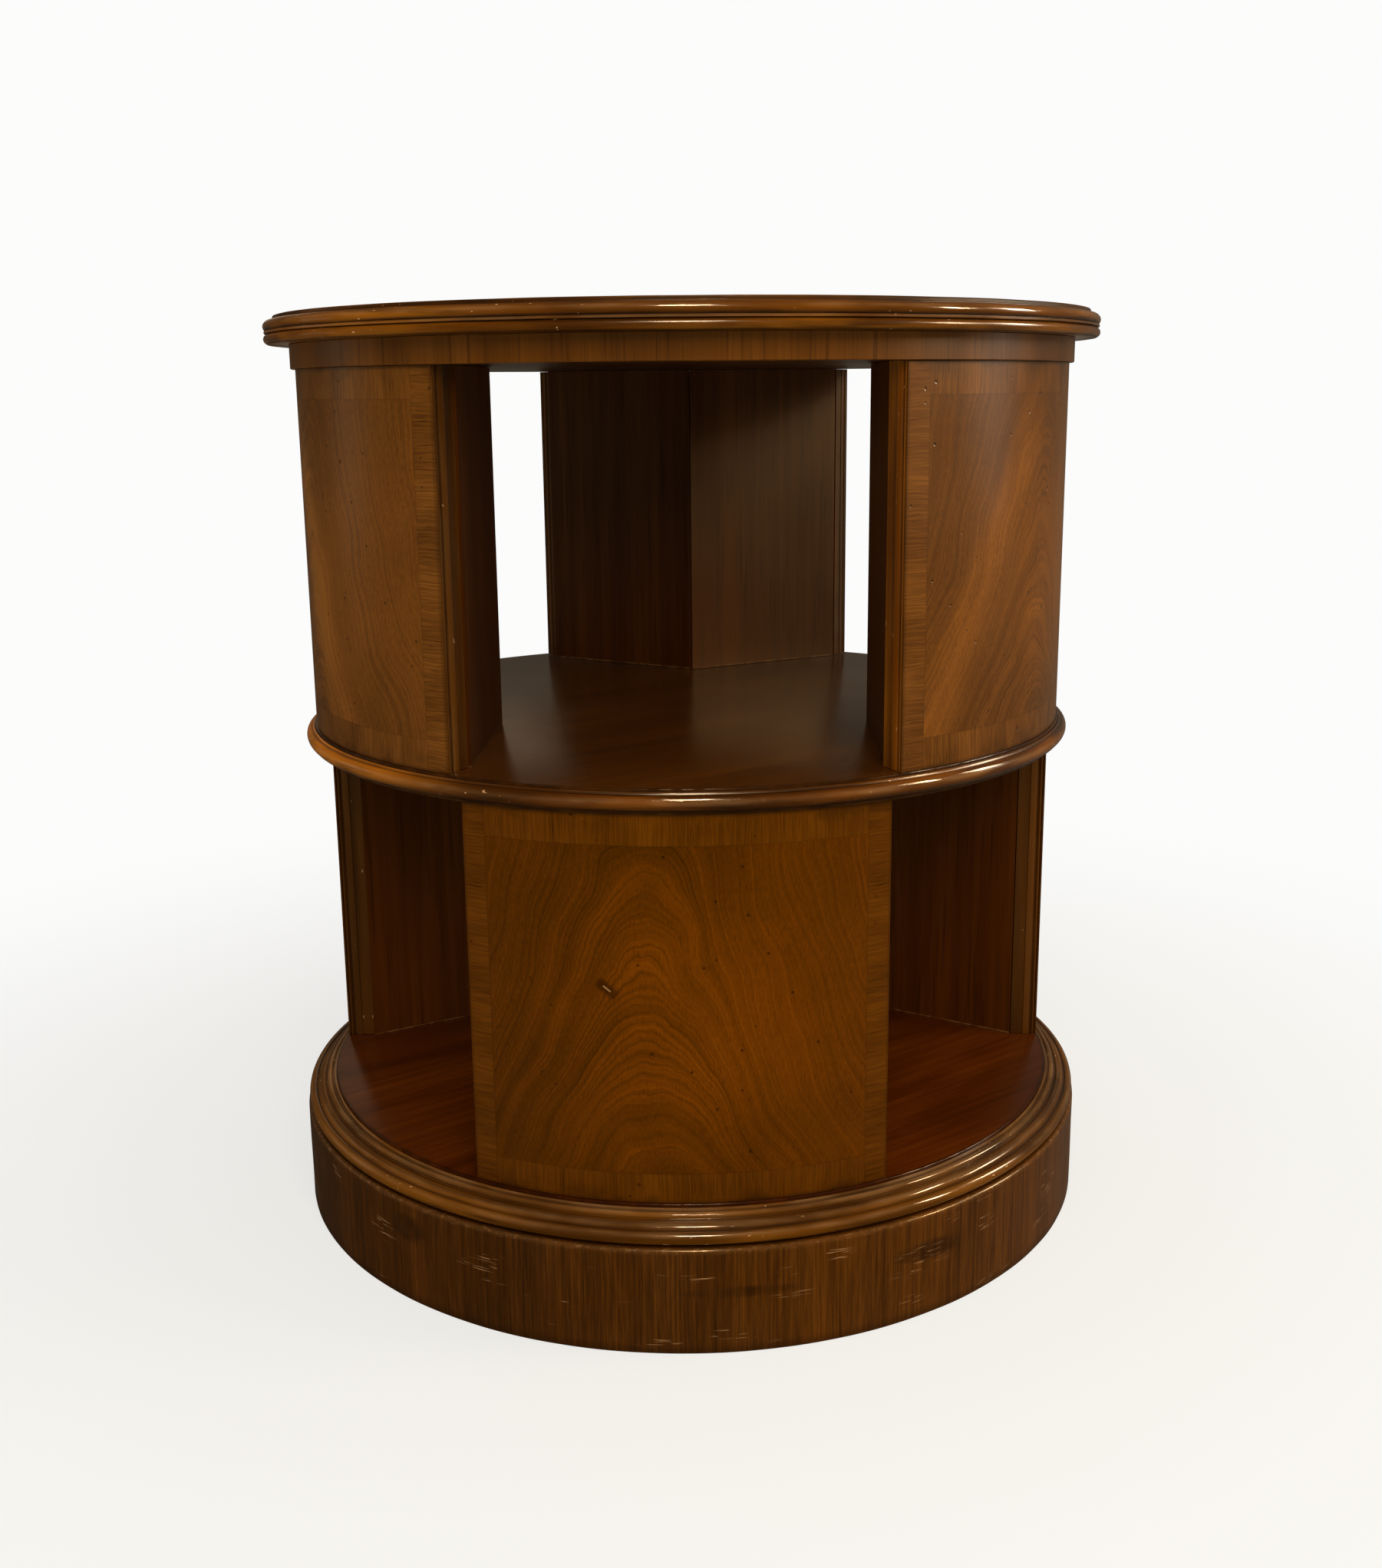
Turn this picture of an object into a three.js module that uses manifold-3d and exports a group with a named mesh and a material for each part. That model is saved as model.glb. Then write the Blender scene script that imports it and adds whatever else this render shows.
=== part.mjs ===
// Revolving drum bookcase: a two-tier veneered drum that turns on a ring bearing inside a round plinth.
// Millimetres, +Z up. The origin is the centre of the plinth's underside, and the front is towards -Y.
import * as THREE from "three";
import { mergeVertices } from "three/addons/utils/BufferGeometryUtils.js";
import Module from "manifold-3d";

const wasm = await Module();
wasm.setup();

// ---------------------------------------------------------------- driving dimensions

const GAP = 0.3; // glue line between touching pieces
const RING_SEGMENTS = 64;
const PLATE_SEGMENTS = 36;
const HOLE_SEGMENTS = 8;

// Plan of one tier: three curved panels and three open bays, each 120 degrees apart.
const PANEL_COUNT = 3;
const PANEL_RADIUS = 285;
const PANEL_THICKNESS = 21;
const PANEL_HALF_ANGLE = THREE.MathUtils.degToRad(29.2);
const VENEER_LAP = 1.5; // depth of face that laps over the strip on each end
const PANEL_ARC_STEPS = 12;
const LIPPING_WIDTH = 4.2; // bead strip that closes the end of a curved panel
const WALL_THICKNESS = 12;
const UPPER_TIER_TURN = THREE.MathUtils.degToRad(59.7);

// Heights above the floor.
const PLINTH_HEIGHT = 75;
const BASE_UNDERSIDE = 76;
const BASE_TOP = 95.5;
const SHELF_UNDERSIDE = 359.9;
const SHELF_TOP = 376.5;
const SOFFIT_UNDERSIDE = 634.4;
const SOFFIT_TOP = 651.2;
const TOP_UNDERSIDE = 651.5;
const OVERALL_HEIGHT = 671;

// Radii.
const PLINTH_RADIUS = 308.8;
const PLINTH_THICKNESS = 18;
const PLINTH_ARRIS = 3;
const BASE_BOARD_RADIUS = 286.5;
const BASE_MOULDING_RADIUS = 307.8;
const SHELF_BOARD_RADIUS = 286.5;
const SHELF_NOSING_RADIUS = 293;
const FRIEZE_RADIUS = 288.4;
const FRIEZE_THICKNESS = 12;
const TOP_BOARD_RADIUS = 288.4;
const TOP_RADIUS = 305.8;

// Plinth interior.
const PLINTH_BOARD_TOP = 66.2;
const PLINTH_BOARD_THICKNESS = 18;
const GLUE_BLOCK_COUNT = 6;
const GLUE_BLOCK = { width: 60, depth: 22, height: 28 };

// Ring bearing: two pressed plates with a caged ring of balls between them.
const PLATE_THICKNESS = 1.6;
const PLATE_INNER_RADIUS = 104;
const BEARING_BOTTOM = PLINTH_BOARD_TOP + GAP;
const BEARING_TOP = BASE_UNDERSIDE - GAP;
const LOWER_PLATE_RADIUS = 151.6;
const UPPER_PLATE_RADIUS = 149.2;
const INNER_LIP_RADIUS = 129.4;
const LIP_HEIGHT = 5;
const BALL_RADIUS = 2.7;
const BALL_CIRCLE_RADIUS = 140.3;
const BALL_COUNT = 12;
const CAGE_WIDTH = 6;
const CAGE_THICKNESS = 1.2;
const SCREW_CIRCLE_RADIUS = 115;
const SCREW_COUNT = 4;
const SCREW = { headRadius: 4.2, headHeight: 2.3, shankRadius: 1.9, length: 12 };
const SCREW_CLEARANCE = 0.4;
const ACCESS_HOLE_RADIUS = 8;

// ---------------------------------------------------------------- materials

const FINISHES = {
  veneer: { color: 0x6a3208, roughness: 0.38, metalness: 0 },
  solidMahogany: { color: 0x74400f, roughness: 0.32, metalness: 0 },
  shelfVeneer: { color: 0x4b1c05, roughness: 0.3, metalness: 0 },
  wallVeneer: { color: 0x3a1706, roughness: 0.45, metalness: 0 },
  plinthVeneer: { color: 0x4f2606, roughness: 0.42, metalness: 0 },
  carcassPine: { color: 0xb08a58, roughness: 0.8, metalness: 0 },
  zincPlate: { color: 0xa8aaab, roughness: 0.35, metalness: 1 },
  steel: { color: 0x8f9194, roughness: 0.25, metalness: 1 },
};

// ---------------------------------------------------------------- geometry helpers

// Turns a profile of [radius, height] points about +Z. A ring's profile closes on itself.
function turned(profile, segments = RING_SEGMENTS) {
  const closed = profile[0][0] > 0;
  const points = profile.map(([radius, height]) => new THREE.Vector2(radius, height));
  if (closed) points.push(points[0].clone());
  return new THREE.LatheGeometry(points, segments).rotateX(Math.PI / 2);
}

// A flat round board or plate, solid when its inner radius is 0.
function disc(outerRadius, innerRadius, bottom, top, segments = RING_SEGMENTS) {
  return turned(
    [
      [innerRadius, bottom],
      [outerRadius, bottom],
      [outerRadius, top],
      [innerRadius, top],
    ],
    segments,
  );
}

// A plan outline raised from one height to another.
function raised(outline, bottom, top) {
  const shape = new THREE.Shape(outline.map(([x, y]) => new THREE.Vector2(x, y)));
  const options = { depth: top - bottom, bevelEnabled: false, curveSegments: 1 };
  return new THREE.ExtrudeGeometry(shape, options).translate(0, 0, bottom);
}

// Points along a round stretch of a profile, angles in degrees anticlockwise from the +X side.
function arc(centreX, centreY, radius, fromDegrees, toDegrees, steps) {
  return Array.from({ length: steps + 1 }, (_, i) => {
    const turn = THREE.MathUtils.degToRad(fromDegrees + ((toDegrees - fromDegrees) * i) / steps);
    return [centreX + radius * Math.cos(turn), centreY + radius * Math.sin(turn)];
  });
}

// A plan point at a radius and an angle from the front, positive towards +X.
function polar(radius, angle) {
  return [radius * Math.sin(angle), -radius * Math.cos(angle)];
}

function toSolid(geometry) {
  const bare = new THREE.BufferGeometry().setAttribute("position", geometry.getAttribute("position"));
  if (geometry.index) bare.setIndex(geometry.index);
  const merged = mergeVertices(bare, 1e-3);
  return new wasm.Manifold(
    new wasm.Mesh({
      numProp: 3,
      vertProperties: merged.attributes.position.array,
      triVerts: new Uint32Array(merged.index.array),
    }),
  );
}

function toGeometry(solid) {
  const mesh = solid.getMesh();
  return new THREE.BufferGeometry()
    .setAttribute("position", new THREE.BufferAttribute(mesh.vertProperties, 3))
    .setIndex(new THREE.BufferAttribute(mesh.triVerts, 1));
}

// Cuts upright round holes: each hole is { x, y, radius, bottom, top }.
function drilled(geometry, holes) {
  const cut = holes.reduce((solid, hole) => {
    const depth = hole.top - hole.bottom;
    const drill = new THREE.CylinderGeometry(hole.radius, hole.radius, depth, HOLE_SEGMENTS)
      .rotateX(Math.PI / 2)
      .translate(hole.x, hole.y, (hole.top + hole.bottom) / 2);
    return solid.subtract(toSolid(drill));
  }, toSolid(geometry));
  return toGeometry(cut);
}

function piece(name, geometry, finish) {
  const mesh = new THREE.Mesh(geometry, new THREE.MeshStandardMaterial(FINISHES[finish]));
  mesh.name = name;
  return mesh;
}

// ---------------------------------------------------------------- plinth

function plinthRing() {
  const inner = PLINTH_RADIUS - PLINTH_THICKNESS;
  const arris = arc(PLINTH_RADIUS - PLINTH_ARRIS, PLINTH_HEIGHT - PLINTH_ARRIS, PLINTH_ARRIS, 0, 90, 2);
  return turned([[inner, 0], [PLINTH_RADIUS, 0], ...arris, [inner, PLINTH_HEIGHT]]);
}

const PLINTH_BOARD_BOTTOM = PLINTH_BOARD_TOP - PLINTH_BOARD_THICKNESS;
const PLINTH_BOARD_RADIUS = PLINTH_RADIUS - PLINTH_THICKNESS - GAP;
const LOWER_SCREW_TURN = Math.PI / SCREW_COUNT;

function screwSpots(turn) {
  return Array.from({ length: SCREW_COUNT }, (_, i) =>
    polar(SCREW_CIRCLE_RADIUS, turn + (i * 2 * Math.PI) / SCREW_COUNT),
  );
}

function holesAt(spots, radius, bottom, top) {
  return spots.map(([x, y]) => ({ x, y, radius, bottom, top }));
}

const PILOT_RADIUS = SCREW.shankRadius + SCREW_CLEARANCE;
const PILOT_DEPTH = SCREW.length + 1;
const ACCESS_SPOT = [polar(SCREW_CIRCLE_RADIUS, 0)];

function plinthBoard() {
  const board = disc(PLINTH_BOARD_RADIUS, 0, PLINTH_BOARD_BOTTOM, PLINTH_BOARD_TOP);
  const pilotBottom = PLINTH_BOARD_TOP - PILOT_DEPTH;
  return drilled(board, [
    ...holesAt(screwSpots(LOWER_SCREW_TURN), PILOT_RADIUS, pilotBottom, PLINTH_BOARD_TOP + 1),
    ...holesAt(ACCESS_SPOT, ACCESS_HOLE_RADIUS, PLINTH_BOARD_BOTTOM - 1, PLINTH_BOARD_TOP + 1),
  ]);
}

// A block glued in the corner under the plinth board, against the inside of the ring.
function glueBlock(index) {
  const { width, depth, height } = GLUE_BLOCK;
  const ringInside = PLINTH_RADIUS - PLINTH_THICKNESS;
  const flatToRing = Math.sqrt(ringInside ** 2 - (width / 2) ** 2) - 2 * GAP;
  const block = piece(`glue_block_${index + 1}`, new THREE.BoxGeometry(width, depth, height), "carcassPine");
  const angle = ((index + 0.5) * 2 * Math.PI) / GLUE_BLOCK_COUNT;
  const [x, y] = polar(flatToRing - depth / 2, angle);
  block.position.set(x, y, PLINTH_BOARD_BOTTOM - GAP - height / 2);
  block.rotation.z = angle;
  return block;
}

// ---------------------------------------------------------------- ring bearing

function lowerPlate() {
  const top = BEARING_BOTTOM + PLATE_THICKNESS;
  const plate = turned(
    [
      [PLATE_INNER_RADIUS, BEARING_BOTTOM],
      [LOWER_PLATE_RADIUS, BEARING_BOTTOM],
      [LOWER_PLATE_RADIUS, top + LIP_HEIGHT],
      [LOWER_PLATE_RADIUS - PLATE_THICKNESS, top + LIP_HEIGHT],
      [LOWER_PLATE_RADIUS - PLATE_THICKNESS, top],
      [PLATE_INNER_RADIUS, top],
    ],
    PLATE_SEGMENTS,
  );
  return drilled(plate, [
    ...holesAt(screwSpots(LOWER_SCREW_TURN), PILOT_RADIUS, BEARING_BOTTOM - 1, top + 1),
    ...holesAt(ACCESS_SPOT, ACCESS_HOLE_RADIUS, BEARING_BOTTOM - 1, top + 1),
  ]);
}

function upperPlate() {
  const bottom = BEARING_TOP - PLATE_THICKNESS;
  const plate = turned(
    [
      [PLATE_INNER_RADIUS, bottom],
      [INNER_LIP_RADIUS, bottom],
      [INNER_LIP_RADIUS, bottom - LIP_HEIGHT],
      [INNER_LIP_RADIUS + PLATE_THICKNESS, bottom - LIP_HEIGHT],
      [INNER_LIP_RADIUS + PLATE_THICKNESS, bottom],
      [UPPER_PLATE_RADIUS, bottom],
      [UPPER_PLATE_RADIUS, BEARING_TOP],
      [PLATE_INNER_RADIUS, BEARING_TOP],
    ],
    PLATE_SEGMENTS,
  );
  return drilled(plate, holesAt(screwSpots(0), PILOT_RADIUS, bottom - 1, BEARING_TOP + 1));
}

// The balls are held in one thin ring, so they go round together at half the drum's speed.
function ballCage() {
  const middle = (BEARING_BOTTOM + BEARING_TOP) / 2;
  const ring = disc(
    BALL_CIRCLE_RADIUS + CAGE_WIDTH / 2,
    BALL_CIRCLE_RADIUS - CAGE_WIDTH / 2,
    middle - CAGE_THICKNESS / 2,
    middle + CAGE_THICKNESS / 2,
    PLATE_SEGMENTS,
  );
  let solid = toSolid(ring);
  for (let i = 0; i < BALL_COUNT; i++) {
    const [x, y] = polar(BALL_CIRCLE_RADIUS, (i * 2 * Math.PI) / BALL_COUNT);
    solid = solid.add(toSolid(new THREE.SphereGeometry(BALL_RADIUS, 8, 4).translate(x, y, middle)));
  }
  return toGeometry(solid);
}

// A pan-head screw along +Z with the flat of its head at height 0 and its shank going down.
function screwBody() {
  const { headRadius, headHeight, shankRadius, length } = SCREW;
  const profile = [
    [0, -length],
    [shankRadius, 3 - length],
    [shankRadius, 0],
    [headRadius, 0],
    [0.75 * headRadius, headHeight],
    [0, headHeight],
  ];
  return turned(profile, 8);
}

function screws(baseName, turn, seat, headUp) {
  return screwSpots(turn).map(([x, y], i) => {
    const screw = piece(`${baseName}_${i + 1}`, screwBody(), "steel");
    screw.position.set(x, y, seat);
    if (!headUp) screw.rotation.x = Math.PI;
    return screw;
  });
}

// ---------------------------------------------------------------- boards and mouldings

function baseBoard() {
  const board = disc(BASE_BOARD_RADIUS, 0, BASE_UNDERSIDE, BASE_TOP);
  return drilled(board, holesAt(screwSpots(0), PILOT_RADIUS, BASE_UNDERSIDE - 1, BASE_UNDERSIDE + PILOT_DEPTH));
}

// From the inside: a flat, a bead, two small steps and a torus that overhangs the plinth joint.
function baseMoulding() {
  const inner = BASE_BOARD_RADIUS + GAP;
  const torusRadius = 4.6;
  const torusCentre = BASE_MOULDING_RADIUS - torusRadius;
  return turned([
    [inner, BASE_UNDERSIDE],
    ...arc(torusCentre, BASE_UNDERSIDE + torusRadius + 0.2, torusRadius, -80, 100, 6),
    [298.5, 87.2],
    [298.3, 88],
    [296, 88.8],
    [294.8, 88.4],
    ...arc(291.5, 90.2, 2.3, -20, 150, 4),
    [288.8, 91.6],
    [288.2, 93.5],
    [inner, 93.5],
  ]);
}

function shelfNosing() {
  const inner = SHELF_BOARD_RADIUS + GAP;
  const bottom = 362.4;
  const top = 374.6;
  const roundRadius = (top - bottom) / 2;
  const centre = SHELF_NOSING_RADIUS - roundRadius;
  return turned([
    [inner, bottom],
    [centre, bottom],
    ...arc(centre, bottom + roundRadius, roundRadius, -60, 60, 3),
    [centre + 1, top],
    [inner, top],
  ]);
}

// A lower torus, a notch, a small fillet, a larger upper torus and a flat top fillet.
function topMoulding() {
  const inner = TOP_BOARD_RADIUS + GAP;
  return turned([
    [inner, TOP_UNDERSIDE],
    [303.4, TOP_UNDERSIDE],
    ...arc(302.5, 654.8, 3.3, -50, 50, 2),
    [303.2, 658.6],
    [304.8, 659],
    [304.8, 660.4],
    ...arc(300.6, 663.6, 5.2, -20, 90, 3),
    [298.6, 668.8],
    [298.6, OVERALL_HEIGHT],
    [inner, OVERALL_HEIGHT],
  ]);
}

// ---------------------------------------------------------------- one tier of the drum

const INNER_RADIUS = PANEL_RADIUS - PANEL_THICKNESS;
const BAY_HALF_ANGLE = Math.PI / PANEL_COUNT - PANEL_HALF_ANGLE;
const BAY_HALF_WIDTH = INNER_RADIUS * Math.sin(BAY_HALF_ANGLE);

// The face runs the full width and laps over the end strips, so the rest is narrower.
function curvedPanel(bottom, top) {
  const lapRadius = PANEL_RADIUS - VENEER_LAP;
  const along = (radius, setBack) => {
    const half = PANEL_HALF_ANGLE - setBack / radius;
    const step = (2 * half) / PANEL_ARC_STEPS;
    return Array.from({ length: PANEL_ARC_STEPS + 1 }, (_, i) => polar(radius, -half + step * i));
  };
  const [lapStart, lapEnd] = [-PANEL_HALF_ANGLE, PANEL_HALF_ANGLE].map((angle) => polar(lapRadius, angle));
  const rebate = LIPPING_WIDTH + GAP;
  const rebateAngle = PANEL_HALF_ANGLE - rebate / lapRadius;
  const outline = [
    ...along(PANEL_RADIUS, 0),
    lapEnd,
    polar(lapRadius, rebateAngle),
    ...along(INNER_RADIUS, rebate).reverse(),
    polar(lapRadius, -rebateAngle),
    lapStart,
  ];
  return raised(outline, bottom, top);
}

// The strip on a panel's end. Its outline is drawn as [depth into the panel, depth from the face]:
// a fine bead behind the lap, a groove, a raised flat and a wider sunk flat. side is -1 or 1.
function endLipping(side, bottom, top) {
  const bead = 1.1;
  const outline = [
    [0.9, PANEL_THICKNESS],
    [0.9, 11.5],
    [0, 11.2],
    [0, 6.2],
    [1.5, 5.2],
    ...arc(bead, 3, bead, 90, 250, 4),
    [LIPPING_WIDTH, VENEER_LAP + GAP],
    [LIPPING_WIDTH, PANEL_THICKNESS],
  ];
  const endAngle = side * PANEL_HALF_ANGLE;
  const [x, y] = polar(PANEL_RADIUS, endAngle);
  const inward = polar(-1, endAngle);
  const along = [-side * Math.cos(endAngle), -side * Math.sin(endAngle)];
  const plan = outline.map(([into, depth]) => [
    x + along[0] * into + inward[0] * depth,
    y + along[1] * into + inward[1] * depth,
  ]);
  return raised(plan, bottom, top);
}

// A wall board behind a panel. Its bay face runs from the panel's inner corner, parallel to the
// bay's own axis, to the mitre where the two walls of the panel meet.
function bayWall(side, bottom, top) {
  const bayAngle = Math.PI / PANEL_COUNT;
  const onMitre = (distance) => [side * GAP, -distance / Math.sin(bayAngle) - GAP];
  const atPanel = (distance, radius) => {
    const [x, y] = polar(radius, bayAngle - Math.asin(distance / radius));
    return [side * x, y];
  };
  const back = BAY_HALF_WIDTH + WALL_THICKNESS;
  const plan = [
    onMitre(BAY_HALF_WIDTH),
    atPanel(BAY_HALF_WIDTH, INNER_RADIUS - 2 * GAP),
    atPanel(back, INNER_RADIUS - 2 * GAP),
    onMitre(back),
  ];
  return raised(plan, bottom, top);
}

function tier(name, turn, placeNames, bottom, top) {
  const group = new THREE.Group();
  group.rotation.z = turn;
  placeNames.forEach((place, i) => {
    const bay = new THREE.Group();
    bay.rotation.z = (i * 2 * Math.PI) / PANEL_COUNT;
    bay.add(piece(`${name}_panel_${place}`, curvedPanel(bottom, top), "veneer"));
    for (const [hand, side] of [["a", -1], ["b", 1]]) {
      bay.add(
        piece(`${name}_wall_${place}_${hand}`, bayWall(side, bottom, top), "wallVeneer"),
        piece(`${name}_lipping_${place}_${hand}`, endLipping(side, bottom, top), "solidMahogany"),
      );
    }
    group.add(bay);
  });
  return group;
}

// ---------------------------------------------------------------- assembly

const plinth = new THREE.Group();
plinth.add(
  piece("plinth_ring", plinthRing(), "plinthVeneer"),
  piece("plinth_board", plinthBoard(), "carcassPine"),
  ...Array.from({ length: GLUE_BLOCK_COUNT }, (_, i) => glueBlock(i)),
  piece("bearing_lower_plate", lowerPlate(), "zincPlate"),
  ...screws("lower_plate_screw", LOWER_SCREW_TURN, BEARING_BOTTOM + PLATE_THICKNESS + 0.1, true),
);

const bearing = new THREE.Group();
bearing.add(piece("ball_cage", ballCage(), "steel"));

const drum = new THREE.Group();
drum.add(
  piece("bearing_upper_plate", upperPlate(), "zincPlate"),
  ...screws("upper_plate_screw", 0, BEARING_TOP - PLATE_THICKNESS - 0.1, false),
  piece("base_board", baseBoard(), "shelfVeneer"),
  piece("base_moulding", baseMoulding(), "solidMahogany"),
  tier("lower", 0, ["front", "right", "left"], BASE_TOP + GAP, SHELF_UNDERSIDE - GAP),
  piece("middle_shelf", disc(SHELF_BOARD_RADIUS, 0, SHELF_UNDERSIDE, SHELF_TOP), "shelfVeneer"),
  piece("shelf_nosing", shelfNosing(), "solidMahogany"),
  tier("upper", UPPER_TIER_TURN, ["right", "rear", "left"], SHELF_TOP + GAP, SOFFIT_UNDERSIDE - GAP),
  piece("soffit_board", disc(FRIEZE_RADIUS - FRIEZE_THICKNESS - GAP, 0, SOFFIT_UNDERSIDE, SOFFIT_TOP), "wallVeneer"),
  piece(
    "frieze_band",
    disc(FRIEZE_RADIUS, FRIEZE_RADIUS - FRIEZE_THICKNESS, SOFFIT_UNDERSIDE, SOFFIT_TOP),
    "veneer",
  ),
  piece("top_board", disc(TOP_BOARD_RADIUS, 0, TOP_UNDERSIDE, OVERALL_HEIGHT), "veneer"),
  piece("top_moulding", topMoulding(), "solidMahogany"),
);

const bookcase = new THREE.Group();
bookcase.add(plinth, bearing, drum);

export default bookcase;
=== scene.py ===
"""Looks of the revolving drum bookcase: fine turned mouldings, crossbanded panels and polished mahogany.

Lengths are metres in the CAD frame: +Z up, origin under the plinth's centre, front towards -Y.
"""

import math

import bmesh
import bpy
from mathutils import Matrix, Vector, noise


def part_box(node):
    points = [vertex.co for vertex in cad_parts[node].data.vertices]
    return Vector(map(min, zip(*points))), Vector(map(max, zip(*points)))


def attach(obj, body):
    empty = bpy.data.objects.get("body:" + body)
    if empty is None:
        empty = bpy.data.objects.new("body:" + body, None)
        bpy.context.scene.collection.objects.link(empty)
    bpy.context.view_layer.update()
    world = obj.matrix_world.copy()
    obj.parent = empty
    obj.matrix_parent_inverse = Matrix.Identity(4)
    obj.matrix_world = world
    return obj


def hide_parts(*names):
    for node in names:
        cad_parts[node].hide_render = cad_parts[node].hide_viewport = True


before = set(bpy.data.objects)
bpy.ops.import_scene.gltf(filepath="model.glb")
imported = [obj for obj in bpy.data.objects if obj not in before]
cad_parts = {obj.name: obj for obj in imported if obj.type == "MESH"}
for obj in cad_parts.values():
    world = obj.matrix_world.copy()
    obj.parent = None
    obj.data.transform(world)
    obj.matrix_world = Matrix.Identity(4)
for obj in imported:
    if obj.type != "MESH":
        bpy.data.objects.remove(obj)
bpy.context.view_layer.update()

MM = 0.001
GRAIN_MAP = "grain"


# ------------------------------------------------------------------ camera, floor and light

CAMERA_DISTANCE = 1.2708
CAMERA_HEIGHT = 0.6188
CAMERA_AZIMUTH = math.radians(1.5)
CAMERA_PITCH = 0.2208
CAMERA_YAW = 0.0107
CAMERA_ROLL = -0.0092
CAMERA_LENS = 37.57
CAMERA_SHIFT = (-0.0088, -0.0183)
BACKDROP = (0.97, 0.97, 0.965)


def add_camera():
    heading = CAMERA_YAW - CAMERA_AZIMUTH
    forward = Vector(
        (
            math.sin(heading) * math.cos(CAMERA_PITCH),
            math.cos(heading) * math.cos(CAMERA_PITCH),
            -math.sin(CAMERA_PITCH),
        )
    )
    level = Vector((math.cos(heading), -math.sin(heading), 0))
    up = level.cross(forward)
    right = math.cos(CAMERA_ROLL) * level + math.sin(CAMERA_ROLL) * up
    up = math.cos(CAMERA_ROLL) * up - math.sin(CAMERA_ROLL) * level
    data = bpy.data.cameras.new("camera")
    data.lens = CAMERA_LENS
    data.shift_x, data.shift_y = CAMERA_SHIFT
    data.clip_end = 100
    camera = bpy.data.objects.new("camera", data)
    place = Matrix((right, up, -forward)).transposed().to_4x4()
    place.translation = (
        CAMERA_DISTANCE * math.sin(CAMERA_AZIMUTH),
        -CAMERA_DISTANCE * math.cos(CAMERA_AZIMUTH),
        CAMERA_HEIGHT,
    )
    camera.matrix_world = place
    bpy.context.scene.collection.objects.link(camera)
    bpy.context.scene.camera = camera


WARM = (1.0, 0.80, 0.48)
NEAR_WHITE = (0.96, 0.97, 1.0)
WINDOW_WHITE = (1.0, 0.94, 0.82)
LIGHTS = (
    # name, place, size, watts, colour, what it points at, lights surfaces, shines in their polish
    ("key", (0.35, -2.5, 1.9), (1.6, 1.6), 59, WARM, (0, 0, 0.35), True, False),
    ("lamp", (0.06, -1.6, 1.9), (0.36, 0.3), 32, NEAR_WHITE, (0, -0.3, 0.4), False, True),
    ("window_near", (2.09, -0.68, 1.3), (0.2, 0.6), 30, WINDOW_WHITE, (0, 0, 0.55), False, True),
    ("window_far", (2.18, 0.22, 1.3), (0.4, 0.6), 28, WINDOW_WHITE, (0, 0, 0.55), False, True),
    ("right_glow", (2.2, 0.12, 0.66), (0.5, 0.5), 1.2, (0.9, 0.9, 0.9), (0, 0, 0.5), False, True),
    ("left_glow", (-2.2, 0.5, 0.6), (0.6, 0.6), 0.4, (1.0, 0.86, 0.66), (0, 0, 0.5), False, True),
    ("rear_glow", (-0.95, 2.6, 1.3), (0.9, 0.7), 0.6, (1.0, 0.76, 0.5), (-0.2, 0, 0.1), False, True),
    ("daylight", (2.1, -0.3, 1.3), (0.9, 0.9), 19, WARM, (0, 0, 0.5), True, False),
    ("left_wall", (-2.3, -0.4, 0.9), (1.0, 1.2), 1.3, (1.0, 0.85, 0.62), (0, 0, 0.4), True, False),
)


def add_area_light(name, spot, size, power, tone, target, lights, shines):
    data = bpy.data.lights.new(name, "AREA")
    data.shape = "RECTANGLE"
    data.size, data.size_y = size
    data.energy = power
    data.color = tone
    light = bpy.data.objects.new(name, data)
    light.location = spot
    light.rotation_euler = (Vector(target) - Vector(spot)).to_track_quat("-Z", "Y").to_euler()
    light.visible_diffuse = lights
    light.visible_glossy = shines
    bpy.context.scene.collection.objects.link(light)


def add_world():
    """Pale to the eye, soft for diffuse light; reflections see a dim room, paler behind on the right."""
    world = bpy.data.worlds.new("studio")
    world.use_nodes = True
    nodes, links = world.node_tree.nodes, world.node_tree.links
    nodes.clear()
    output = nodes.new("ShaderNodeOutputWorld")
    ray = nodes.new("ShaderNodeLightPath")
    heading = nodes.new("ShaderNodeVectorMath")
    heading.operation = "DOT_PRODUCT"
    heading.inputs[1].default_value = (0.7, 0.7, 0)
    links.new(nodes.new("ShaderNodeTexCoord").outputs["Generated"], heading.inputs[0])
    behind = nodes.new("ShaderNodeMapRange")
    behind.interpolation_type = "SMOOTHSTEP"
    for key, value in (("From Min", 0.0), ("From Max", 0.9), ("To Min", 0.035), ("To Max", 0.14)):
        behind.inputs[key].default_value = value
    links.new(heading.outputs["Value"], behind.inputs["Value"])

    def background(tone, strength):
        made = nodes.new("ShaderNodeBackground")
        made.inputs["Color"].default_value = (*tone, 1)
        if isinstance(strength, bpy.types.NodeSocket):
            links.new(strength, made.inputs["Strength"])
        else:
            made.inputs["Strength"].default_value = strength
        return made.outputs[0]

    last = background((1.0, 0.93, 0.82), 0.5)
    seen = (
        ("Is Glossy Ray", background((1.0, 0.84, 0.62), behind.outputs[0])),
        ("Is Camera Ray", background(BACKDROP, 1.0)),
    )
    for kind, shade in seen:
        choice = nodes.new("ShaderNodeMixShader")
        links.new(ray.outputs[kind], choice.inputs[0])
        links.new(last, choice.inputs[1])
        links.new(shade, choice.inputs[2])
        last = choice.outputs[0]
    links.new(last, output.inputs["Surface"])
    bpy.context.scene.world = world


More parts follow.
